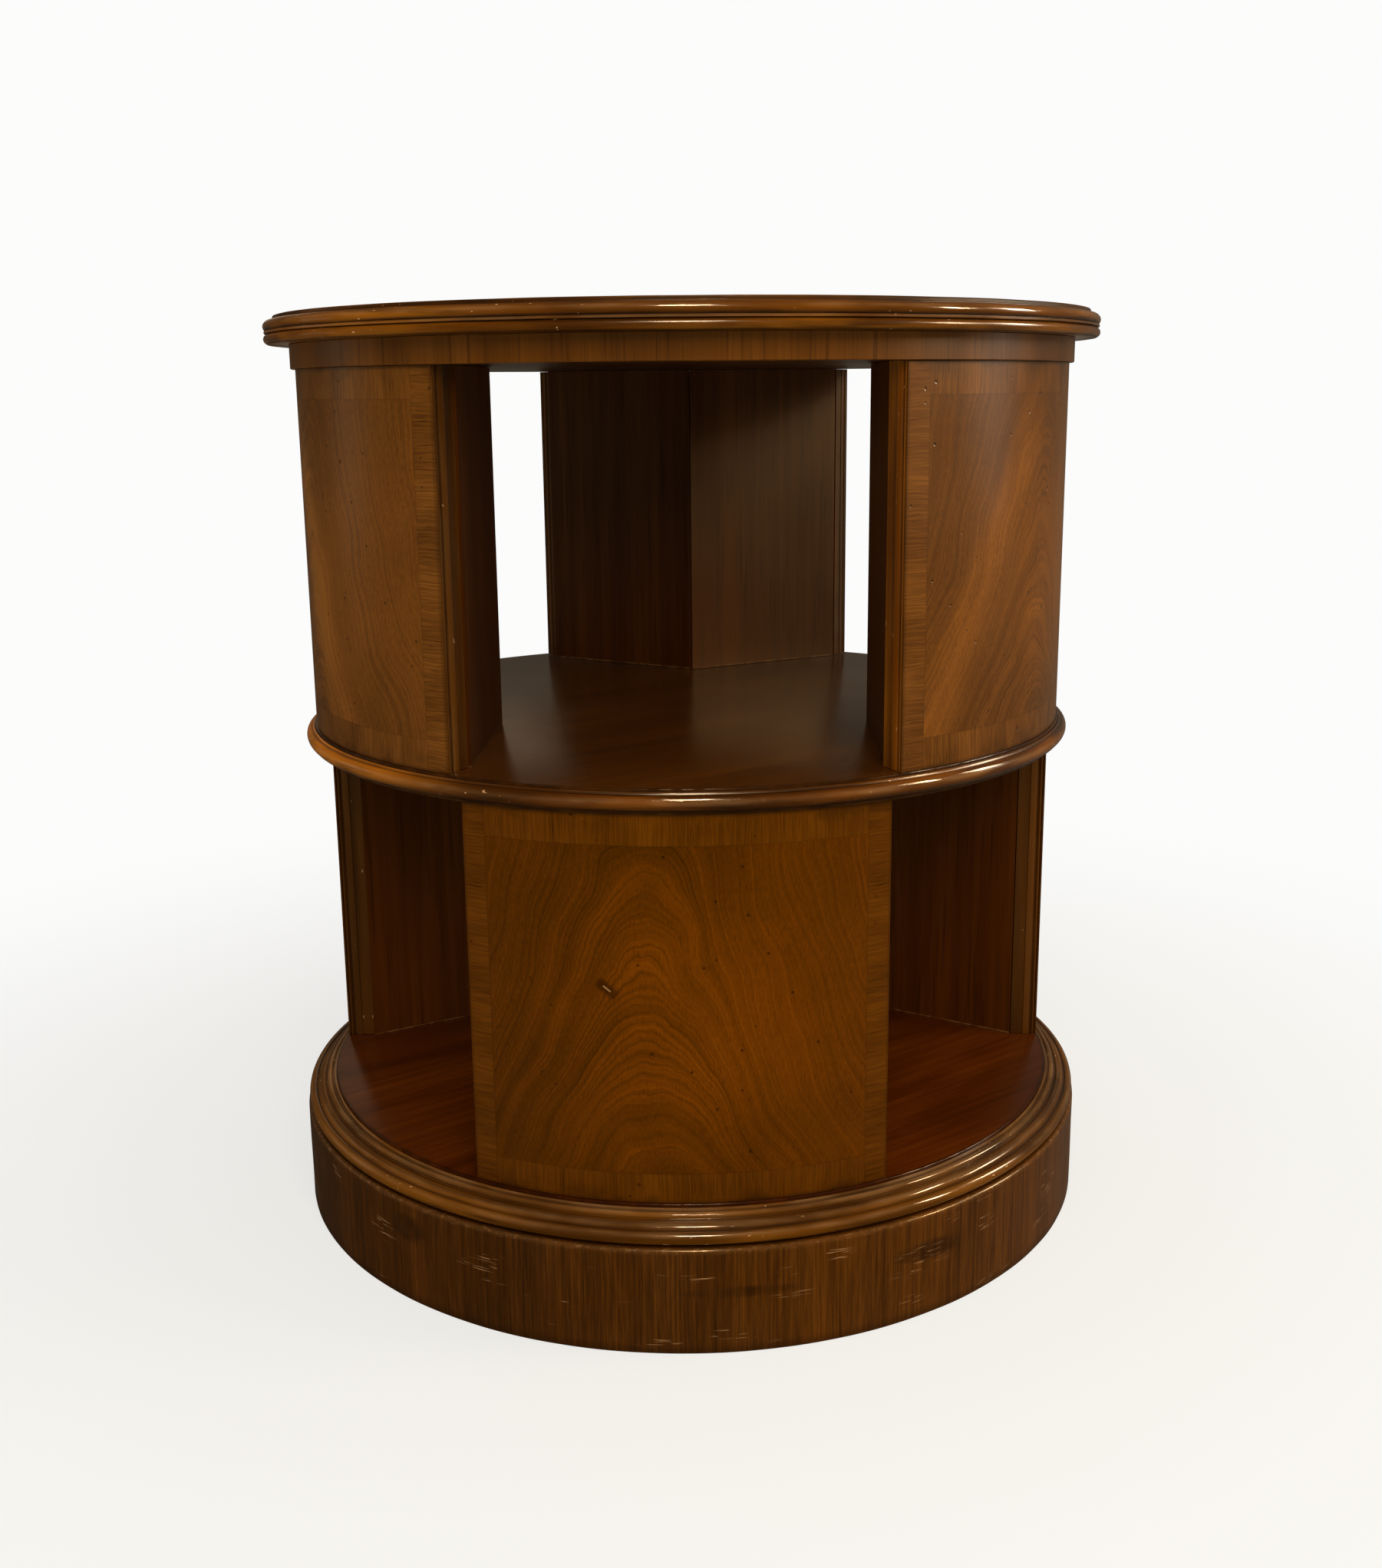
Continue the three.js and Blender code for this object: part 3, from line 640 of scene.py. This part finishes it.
def shelf_wood(name, tones, seed, rim_radius):
    """Red-brown polished board, its grain slanting across it, darker in patches just inside its rim."""
    g = Graph(name)
    place = g.place()
    x, y, _ = g.split(g.node("VectorRotate", {"Vector": place, "Angle": math.radians(-38)}).outputs[0])
    broad = g.noise(g.vector(g.mul(x, 3), g.mul(y, 16), seed), 1.0, 2.0, 0.5, 0.6)
    narrow = g.noise(g.vector(g.mul(x, 7), g.mul(y, 160), seed + 3.0), 1.0, 4.0, 0.65)
    hairs = g.noise(g.vector(g.mul(x, 60), g.mul(y, 1300), seed + 6.0), 1.0, 2.0)
    tone = g.add(g.mul(g.band(broad, 0.25, 0.75), 0.45), g.mul(g.band(narrow, 0.2, 0.8), 0.35))
    tone = g.add(tone, g.mul(hairs, 0.2))
    wood = g.ramp(tone, (0.1, 0.5, 0.92), tones)
    pores = g.band(hairs, 0.55, 0.72)
    wood = g.mix(g.mul(pores, 0.3), wood, DARK_DIRT_AND_SHADE)
    radius = g.maths("SQRT", g.add(g.mul(x, x), g.mul(y, y)))
    # Darker in patches just inside the rim, where the board meets the panels and moulding.
    rim_patches = g.band(g.noise(place, 60.0, 2.0), 0.3, 0.6, 0.3, 0.65)
    at_rim = g.band(radius, rim_radius - 0.003, rim_radius - 0.0008)
    wood = g.mix(g.mul(at_rim, rim_patches), wood, DARK_DIRT_AND_SHADE)
    roughness = g.band(g.noise(place, 8.0, 2.0), 0.1, 0.9, 0.17, 0.26)
    return g.polish(wood, roughness, g.sub(1.0, pores), 0.00002, specular=0.3)


def top_veneer(name, field_radius):
    """The top: plain figured field with a ring of crossbanding whose grain runs outwards."""
    g = Graph(name)
    place = g.place()
    x, y, _ = g.split(place)
    radius = g.maths("SQRT", g.add(g.mul(x, x), g.mul(y, y)))
    angle = g.maths("ARCTAN2", y, x)
    wave = g.mul(g.sub(g.noise(g.vector(g.mul(x, 5), g.mul(y, 5), 3.0), 1.0, 1.0), 0.5), 0.07)
    across = g.add(y, wave)
    broad = g.noise(g.vector(g.mul(x, 3), g.mul(across, 34), 2.0), 1.0, 3.0, 0.6)
    narrow = g.noise(g.vector(g.mul(x, 9), g.mul(across, 210), 6.0), 1.0, 3.0, 0.6)
    tone = g.add(g.mul(g.band(broad, 0.3, 0.7), 0.6), g.mul(narrow, 0.4))
    tones = (colour(70, 31, 1), colour(88, 41, 1), colour(110, 55, 4))
    field = g.ramp(tone, (0.15, 0.5, 0.92), tones)
    border = crossband(g, radius, g.mul(angle, field_radius), 60.0, LOWER_LOOK.border)
    wood = g.mix(g.maths("GREATER_THAN", radius, field_radius), field, border)
    joint = g.band(g.maths("ABSOLUTE", g.sub(radius, field_radius)), 0.0007, 0.0002)
    wood = g.mix(g.mul(joint, 0.5), wood, DARK_DIRT_AND_SHADE)
    pores = open_pores(g, across, x, 4.0)
    wood = g.mix(g.mul(pores, 0.35), wood, DARK_DIRT_AND_SHADE)
    marks = specks(g, place, 60.0, 0.12, 0.12)
    wood = g.mix(g.mul(marks, 0.6), wood, DARK_DIRT_AND_SHADE)
    roughness = g.band(g.noise(place, 6.0, 2.0), 0.1, 0.9, 0.2, 0.3)
    return g.polish(wood, roughness, g.sub(1.0, marks), 0.0002, specular=0.4)


def carcass_wood():
    g = Graph("carcass_wood")
    place = g.place()
    rings = g.noise(g.stretch(place, (3, 45, 45)), 1.0, 3.0, 0.6, 0.4)
    fibre = g.noise(g.stretch(place, (30, 700, 700)), 1.0, 3.0, 0.6)
    tone = g.add(g.mul(g.band(rings, 0.3, 0.7), 0.7), g.mul(fibre, 0.3))
    tones = (colour(128, 92, 54), colour(170, 132, 84), colour(196, 160, 112))
    wood = g.ramp(tone, (0.15, 0.5, 0.9), tones)
    return g.polish(wood, g.band(fibre, 0.3, 0.7, 0.7, 0.9), fibre, 0.0002, specular=0.25)


def metal(name, tone, rough, scale):
    g = Graph(name)
    place = g.place()
    brushed = g.noise(g.stretch(place, (scale, scale, scale * 6)), 1.0, 3.0, 0.6)
    stains = g.band(g.noise(place, 45.0, 3.0), 0.45, 0.75, 0.0, 0.35)
    base = g.mix(stains, tone, colour(96, 84, 68))
    roughness = g.band(brushed, 0.3, 0.7, rough, rough + 0.2)
    return g.polish(base, roughness, brushed, 0.00005, specular=0.5, metallic=1.0)


# ------------------------------------------------------------------ meshes

TURNED_STEPS = 384


def arc(centre, radii, start, stop, steps):
    """Points in millimetres along an ellipse's arc, angles in degrees from the outward side."""
    points = []
    for i in range(steps + 1):
        turn = math.radians(start + (stop - start) * i / steps)
        points.append((centre[0] + radii[0] * math.cos(turn), centre[1] + radii[1] * math.sin(turn)))
    return points


def finish_mesh(name, bm, sharp=30):
    """Makes the object from bm, smooth but for edges sharper than the angle given."""
    bmesh.ops.recalc_face_normals(bm, faces=bm.faces)
    mesh = bpy.data.meshes.new(name)
    bm.to_mesh(mesh)
    bm.free()
    mesh.shade_smooth()
    mesh.set_sharp_from_angle(angle=math.radians(sharp))
    piece = bpy.data.objects.new(name, mesh)
    bpy.context.scene.collection.objects.link(piece)
    return piece


def nearness(point, spots):
    """How strongly the (radius, height, reach, strength) spots near a profile point mark it."""
    marks = [spot[3] * math.exp(-((math.dist(point, spot[:2]) / spot[2]) ** 2)) for spot in spots]
    return max(marks, default=0.0)


def turned(name, profile, shade_and_grime=(), wear_and_highlight=(), wobble=0.0, closed=True):
    """Turns a profile of (radius, height) millimetres about the axis. Its darkening spots hold painted
    shade in recesses and gathered polish, its paling spots polish thinned by rubbing and a painted
    highlight, and wobble is how unevenly an old surface lies."""
    bm = bmesh.new()
    grain = bm.loops.layers.uv.new(GRAIN_MAP)
    shade = {key: bm.verts.layers.float.new(key) for key in ("shade_and_grime", "wear_and_highlight")}
    rims = []
    for i in range(TURNED_STEPS):
        turn = math.pi + 2 * math.pi * i / TURNED_STEPS
        rim = []
        for radius, height in profile:
            if radius == 0 and i:
                rim.append(rims[0][len(rim)])
                continue
            spot = Vector((math.sin(turn), -math.cos(turn), 0)) * radius * MM
            spot.z = height * MM
            if wobble and radius:
                spot *= 1 + wobble * noise.noise(spot * 28) / spot.length
            vert = bm.verts.new(spot)
            vert[shade["shade_and_grime"]] = nearness((radius, height), shade_and_grime)
            vert[shade["wear_and_highlight"]] = nearness((radius, height), wear_and_highlight)
            rim.append(vert)
        rims.append(rim)
    reach = max(radius for radius, _ in profile) * MM
    lengths = [0.0]
    path = profile + profile[:1] if closed else profile
    for a, b in zip(path, path[1:]):
        lengths.append(lengths[-1] + math.dist(a, b) * MM)
    for i in range(TURNED_STEPS):
        here, there = rims[i], rims[(i + 1) % TURNED_STEPS]
        angles = [2 * math.pi * (i + k) / TURNED_STEPS for k in (0, 1)]
        for j in range(len(path) - 1):
            k = (j + 1) % len(profile)
            corners = [(here[j], 0, j), (there[j], 1, j), (there[k], 1, j + 1), (here[k], 0, j + 1)]
            kept = [c for n, c in enumerate(corners) if c[0] not in [d[0] for d in corners[:n]]]
            face = bm.faces.new([c[0] for c in kept])
            for loop, (_, side, row) in zip(face.loops, kept):
                loop[grain].uv = (angles[side] * reach, lengths[row])
    return finish_mesh(name, bm)


def board(name, radius, bottom, top, edge=0.6):
    """A round board with slightly eased edges."""
    profile = [(0, bottom)]
    profile += arc((radius - edge, bottom + edge), (edge, edge), -90, 0, 3)
    profile += arc((radius - edge, top - edge), (edge, edge), 0, 90, 3)
    profile += [(0, top)]
    return turned(name, profile, closed=False)


def raised(name, outline, where, bottom, top, rows=1, shades=None):
    """Raises a plan outline of (x, y) metres from bottom to top.

    where holds how far along the grain map each outline point lies, and shades how far painted shade and
    soiling darken it, if at all.
    """
    bm = bmesh.new()
    grain = bm.loops.layers.uv.new(GRAIN_MAP)
    shade_and_grime = bm.verts.layers.float.new("shade_and_grime")
    places = {}
    levels = []
    for row in range(rows + 1):
        height = bottom + (top - bottom) * row / rows
        level = [bm.verts.new((x, y, height)) for x, y in outline]
        for i, vert in enumerate(level):
            places[vert] = (where[i], height - bottom)
            vert[shade_and_grime] = shades[i] if shades else 0.0
        levels.append(level)
    count = len(outline)
    for low, high in zip(levels, levels[1:]):
        for i in range(count):
            j = (i + 1) % count
            bm.faces.new((low[i], low[j], high[j], high[i]))
    caps = [bm.faces.new(levels[0][::-1]), bm.faces.new(levels[-1])]
    bmesh.ops.triangulate(bm, faces=caps)
    for face in bm.faces:
        for loop in face.loops:
            loop[grain].uv = places[loop.vert]
    return finish_mesh(name, bm)


def polar(radius, angle):
    """A plan point at a radius and an angle from the front, positive towards +X."""
    return radius * math.sin(angle), -radius * math.cos(angle)


# ------------------------------------------------------------------ the object


def extent(node):
    """(outer radius, bottom, top) of a round CAD node, in millimetres."""
    low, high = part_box(node)
    return high.x / MM, low.z / MM, high.z / MM


def dress(piece, node, body, material):
    """piece stands for a CAD node on its body, with its own material."""
    piece.data.materials.clear()
    piece.data.materials.append(material)
    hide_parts(node)
    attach(piece, body)


def redress(node, material):
    """A CAD node whose shape is right keeps its mesh and takes a finer material."""
    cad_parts[node].data.materials.clear()
    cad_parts[node].data.materials.append(material)


PLINTH_WALL = 18
RING_GAP = 0.3  # between a board and the ring round it, in millimetres


def build_plinth():
    radius, bottom, top = extent("plinth_ring")
    inner = radius - PLINTH_WALL
    arris = 3.0
    profile = [(inner, bottom + 0.5), (inner + 0.5, bottom)]
    profile += [(radius - 0.8, bottom), (radius, bottom + 0.8)]
    profile += [(radius, bottom + (top - arris - bottom) * i / 8) for i in range(1, 8)]
    profile += [(radius, top - arris - 1.5), (radius, top - arris - 0.5)]
    profile += arc((radius - arris, top - arris), (arris, arris), 0, 90, 7)
    profile += [(radius - 4.2, top), (radius - 8, top), (inner + 0.5, top), (inner, top - 0.5)]
    # Painted shade darkens the plinth's top beside the gap under the base moulding; its arris is painted
    # paler, partly by rubbing and partly as a highlight.
    ring = turned(
        "plinth_band",
        profile,
        shade_and_grime=[(radius - 8, top, 3.5, 1.0)],
        wear_and_highlight=[(radius - 1, top - 1, 1.9, 1.0)],
        wobble=0.25 * MM,
    )
    dress(ring, "plinth_ring", "plinth", plinth_veneer("plinth_veneer", radius * MM))


def build_base():
    radius, bottom, top = extent("base_board")
    tones = (colour(44, 15, 0), colour(68, 27, 1), colour(94, 44, 4))
    wood = shelf_wood("lower_floor_wood", tones, 2.0, radius * MM)
    dress(board("lower_floor", radius, bottom, top), "base_board", "drum", wood)

    radius, bottom, _ = extent("base_moulding")
    inner = extent("base_board")[0] + RING_GAP
    torus, bead = 4.6, 2.3
    profile = [(inner, bottom), (radius - 6.0, bottom)]
    profile += arc((radius - torus, bottom + 4.8), (torus, torus), -78, 96, 18)
    profile += [(radius - 5.4, bottom + 8.8), (radius - 5.8, bottom + 8.9)]
    profile += arc((radius - 5.4, bottom + 13.0), (3.9, 3.9), 255, 194, 6)
    profile += [(radius - 9.3, bottom + 12.3), (radius - 9.4, bottom + 12.1)]
    profile += [(radius - 11.2, bottom + 12.9), (radius - 11.8, bottom + 12.9)]
    profile += [(radius - 12.5, bottom + 12.4), (radius - 13.3, bottom + 12.5)]
    profile += arc((radius - 16.3, bottom + 14.2), (bead, bead), -28, 150, 12)
    profile += [(radius - 19.0, bottom + 15.4), (radius - 19.4, bottom + 17.2)]
    profile += [(radius - 19.8, bottom + 17.5), (inner, bottom + 17.5)]
    # Painted shade, with some gathered polish, darkens the grooves between the reeds and the torus's
    # underside by the plinth; the reeds' crests and the torus are painted paler, partly by rubbing and
    # partly as a highlight.
    ring = turned(
        "base_moulding_run",
        profile,
        shade_and_grime=[
            (radius - 5.6, bottom + 8.9, 1.2, 0.8),
            (radius - 9.4, bottom + 12.0, 0.8, 0.55),
            (radius - 13.0, bottom + 12.3, 1.2, 0.65),
            (radius - 18.9, bottom + 15.4, 1.1, 0.65),
            (radius - 4.2, bottom, 3.2, 1.0),
        ],
        wear_and_highlight=[
            (radius - 1.4, bottom + 8, 1.8, 0.6),
            (radius - 8.0, bottom + 12.0, 2.4, 0.7),
            (radius - 16.3, bottom + 16.4, 3.0, 0.8),
            (radius - 19.6, bottom + 17.4, 0.6, 1.0),
        ],
        wobble=0.12 * MM,
    )
    wood = moulding_wood("base_moulding_wood", 1.0, BASE_TONES, 0.0)
    dress(ring, "base_moulding", "drum", wood)


def build_shelf():
    radius, bottom, top = extent("middle_shelf")
    tones = (colour(50, 26, 5), colour(67, 36, 8), colour(84, 48, 12))
    wood = shelf_wood("middle_shelf_wood", tones, 8.0, radius * MM)
    dress(board("middle_board", radius, bottom, top), "middle_shelf", "drum", wood)

    inner = radius + RING_GAP
    radius, bottom, top = extent("shelf_nosing")
    nose = 5.6
    profile = [(inner, bottom), (radius - 3.2, bottom)]
    profile += arc((radius - nose, bottom + 5.6), (nose, nose), -64, 66, 16)
    profile += [(radius - 4.0, top - 1.3), (radius - 4.5, top - 0.4)]
    profile += [(radius - 5.2, top), (inner, top)]
    # Painted shade darkens the grooves at the nosing's top and its whole lower half; its crest is painted
    # paler, partly by rubbing and partly as a highlight.
    ring = turned(
        "shelf_nosing_run",
        profile,
        shade_and_grime=[
            (radius - 3.9, top - 1.3, 0.9, 0.8),
            (radius - 6.2, top, 0.7, 0.9),
            (radius - 3.4, bottom, 4.6, 1.0),
        ],
        wear_and_highlight=[(radius - 0.3, bottom + 7, 2.0, 0.6), (radius - 5, top, 0.6, 0.4)],
        wobble=0.12 * MM,
    )
    wood = moulding_wood("shelf_nosing_wood", 4.0, NOSING_TONES, 0.95)
    dress(ring, "shelf_nosing", "drum", wood)


CROSSBAND_WIDTH = 26  # of the top's border, in millimetres


def build_top():
    radius, bottom, top = extent("soffit_board")
    soffit = upright_veneer("soffit_wood", (colour(30, 14, 3), colour(44, 22, 6), colour(58, 30, 9)), 3.0)
    dress(board("soffit", radius, bottom, top), "soffit_board", "drum", soffit)

    inner = radius + RING_GAP
    radius, bottom, top = extent("frieze_band")
    profile = [(inner, bottom), (radius - 0.5, bottom), (radius, bottom + 0.5)]
    profile += [(radius, bottom + (top - bottom) * i / 4) for i in range(1, 5)]
    profile += [(inner, top)]
    # Darker along its foot.
    band = turned("frieze", profile, shade_and_grime=[(radius, bottom, 0.8, 1.0)], wobble=0.15 * MM)
    tones = (colour(70, 37, 4), colour(82, 45, 5), colour(94, 53, 9))
    wood = upright_veneer("frieze_wood", tones, 7.0, streak=500.0, figure=0.6)
    dress(band, "frieze_band", "drum", wood)

    radius, bottom, top = extent("top_board")
    moulding_radius, under, over = extent("top_moulding")
    wood = top_veneer("top_wood", (radius - CROSSBAND_WIDTH) * MM)
    dress(board("top_panel", radius, bottom, top, 0.3), "top_board", "drum", wood)

    inner = radius + RING_GAP
    out = moulding_radius
    profile = [(inner, under), (out - 2.4, under)]
    profile += arc((out - 3.4, under + 3.4), (3.4, 3.4), -75, 75, 10)
    profile += [(out - 1.9, under + 7.0), (out - 0.9, under + 7.2), (out - 0.6, under + 7.5)]
    profile += [(out - 0.6, under + 8.6), (out - 0.9, under + 8.9), (out - 1.7, under + 9.0)]
    profile += arc((out - 6.0, under + 12.1), (6.0, 4.7), -42, 84, 14)
    profile += [(out - 6.8, over - 2.7), (out - 7.1, over - 2.2), (out - 7.1, over - 0.7)]
    profile += [(out - 7.4, over - 0.2), (out - 8.0, over), (inner, over)]
    # Painted shade darkens the grooves, the undersides of the rounds and the lower round as a whole; the
    # upper round's crest and the fillet's edge are painted paler, partly by rubbing and partly as a
    # highlight.
    ring = turned(
        "top_moulding_run",
        profile,
        shade_and_grime=[
            (out - 2.0, under + 7.0, 1.0, 1.0),
            (out - 1.4, under + 9.4, 1.6, 1.0),
            (out - 6.9, over - 1.6, 1.7, 1.0),
            (out - 0.5, under + 3.4, 4.0, 0.4),
            (out - 3.0, under + 0.2, 2.4, 1.0),
        ],
        wear_and_highlight=[(out - 1, under + 14, 1.5, 0.6), (out - 0.8, under + 8.0, 0.6, 1.0)],
        wobble=0.12 * MM,
    )
    wood = moulding_wood("top_moulding_wood", 9.0, TOP_TONES, 0.18)
    dress(ring, "top_moulding", "drum", wood)


PANELS = (
    # node, noise seed, where its arches peak across it, how that leans with height, bruise, flare
    ("lower_panel_front", 3.0, -0.014, -0.08, (-0.045, 0.148), None),
    ("lower_panel_right", 14.0, 0.004, -0.1, None, None),
    ("lower_panel_left", 25.0, 0.010, 0.12, None, None),
    ("upper_panel_right", 36.0, 0.004, 0.0, None, (-0.069, 0.5, 0.03)),
    ("upper_panel_rear", 47.0, 0.0, 0.1, None, None),
    ("upper_panel_left", 58.0, -0.020, 0.0, None, (-0.02, -0.4, 0.04)),
)
PANEL_THICKNESS = 21 * MM
PANEL_STEPS = 96
VENEER_LAP = 1.5 * MM
LIPPING_WIDTH = 4.2 * MM
REBATE = LIPPING_WIDTH + 0.3 * MM
PANEL_RADIUS = -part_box("lower_panel_front")[0].y
PANEL_HALF_ANGLE = math.asin(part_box("lower_panel_front")[1].x / PANEL_RADIUS)


def azimuth_of(node):
    """The angle from the front of a piece that is even about its own axis."""
    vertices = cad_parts[node].data.vertices
    return math.atan2(sum(v.co.x for v in vertices), -sum(v.co.y for v in vertices))


def curved_panel(node):
    """A bowed panel whose face laps over the strips on its ends, with its outer corners just eased."""
    low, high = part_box(node)
    turn = azimuth_of(node)
    half, ease = PANEL_HALF_ANGLE, 0.4 * MM
    inner, lap = PANEL_RADIUS - PANEL_THICKNESS, PANEL_RADIUS - VENEER_LAP
    corner = half - ease / PANEL_RADIUS
    outline = [(lap, -half), (PANEL_RADIUS - ease, -half)]
    outline += [(PANEL_RADIUS, corner * (2 * i / PANEL_STEPS - 1)) for i in range(PANEL_STEPS + 1)]
    outline += [(PANEL_RADIUS - ease, half), (lap, half), (lap, half - REBATE / lap)]
    back = half - REBATE / inner
    outline += [(inner, back * (1 - 2 * i / PANEL_STEPS)) for i in range(PANEL_STEPS + 1)]
    outline += [(lap, REBATE / lap - half)]
    points = [polar(radius, angle + turn) for radius, angle in outline]
    where = [angle * PANEL_RADIUS for _, angle in outline]
    return raised(node + "_veneered", points, where, low.z, high.z, rows=16)


def end_strip(node, panel, side):
    """The moulded strip on a panel's end: a fine bead, a groove, a raised flat and a sunk flat.

    Its outline's points are (millimetres into the panel, millimetres deep, darkening by painted shade and
    soiling).
    """
    low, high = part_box(node)
    bead = 1.1
    outline = [(0.9, 21, 0.4), (0.9, 11.9, 0.6), (0.75, 11.5, 0.9), (0.1, 11.3, 0.1), (0, 11.0, 0)]
    outline += [(0, 6.5, 0), (0.1, 6.2, 0.1), (1.4, 5.3, 0.9), (1.5, 5.0, 1.0), (1.3, 4.3, 0.9)]
    outline += [(bead - x, 3 + y, 0.1) for x, y in arc((0, 0), (bead, bead), 75, -68, 8)]
    outline += [(4.2, 1.8, 1.0), (4.2, 21, 0.4)]
    end = azimuth_of(panel) + side * PANEL_HALF_ANGLE
    x, y = polar(PANEL_RADIUS, end)
    inward = polar(-1, end)
    along = (-side * math.cos(end), -side * math.sin(end))
    points = [
        (x + (along[0] * into + inward[0] * depth) * MM, y + (along[1] * into + inward[1] * depth) * MM)
        for into, depth, _ in outline
    ]
    where = [(into + depth) * MM for into, depth, _ in outline]
    shades = [shade for _, _, shade in outline]
    return raised(node + "_moulded", points, where, low.z, high.z, shades=shades)


def build_panels():
    half_width = PANEL_HALF_ANGLE * PANEL_RADIUS
    # Painted light: the upper right strips get the lit copy, the upper left the half-shaded one, the
    # lower and rear ones the shaded one.
    lit_strip = lipping_wood("lipping_wood", LIT_LIPPING_TONES, (0.22, 0.38), 0.9)
    half_shaded_strip = lipping_wood("half_shaded_lipping_wood", HALF_SHADED_LIPPING_TONES, (0.26, 0.4), 0.9)
    shaded_strip = lipping_wood("shaded_lipping_wood", SHADED_LIPPING_TONES, (0.4, 0.55), 0.6)
    strip_woods = {"upper_panel_right": lit_strip, "upper_panel_left": half_shaded_strip}
    for node, seed, apex, lean, bruise, flare in PANELS:
        low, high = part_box(node)
        upper = node.startswith("upper")
        look = UPPER_LOOK if upper else LOWER_LOOK
        height = high.z - low.z
        wood = flame_veneer(node + "_wood", half_width, height, seed, apex, lean, look, bruise, flare)
        dress(curved_panel(node), node, "drum", wood)
        for hand, side in (("a", -1), ("b", 1)):
            strip = node.replace("panel", "lipping") + "_" + hand
            strip_shading = strip_woods.get(node, shaded_strip)
            dress(end_strip(strip, node, side), strip, "drum", strip_shading)


def redress_cad_nodes():
    floors = [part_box(node)[1].z for node in ("base_board", "middle_shelf")]
    tones = (colour(54, 23, 2), colour(63, 29, 3), colour(73, 36, 5))
    walls = upright_veneer(
        "wall_wood", tones, 5.0, gloss=(0.34, 0.4), figure=0.35, floors=floors, sheen=GOLDEN_SHEEN
    )
    carcass = carcass_wood()
    plated = metal("plated_steel", colour(188, 186, 176), 0.28, 120)
    bright = metal("bright_steel", colour(176, 176, 178), 0.18, 300)
    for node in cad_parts:
        if "_wall_" in node:
            redress(node, walls)
        elif node.startswith(("glue_block", "plinth_board")):
            redress(node, carcass)
        elif node.startswith("bearing"):
            redress(node, plated)
        elif "screw" in node or node == "ball_cage":
            redress(node, bright)


add_camera()
add_world()
add_floor()
for light_row in LIGHTS:
    add_area_light(*light_row)
bpy.context.scene.view_settings.view_transform = "Standard"

build_plinth()
build_base()
build_shelf()
build_top()
build_panels()
redress_cad_nodes()
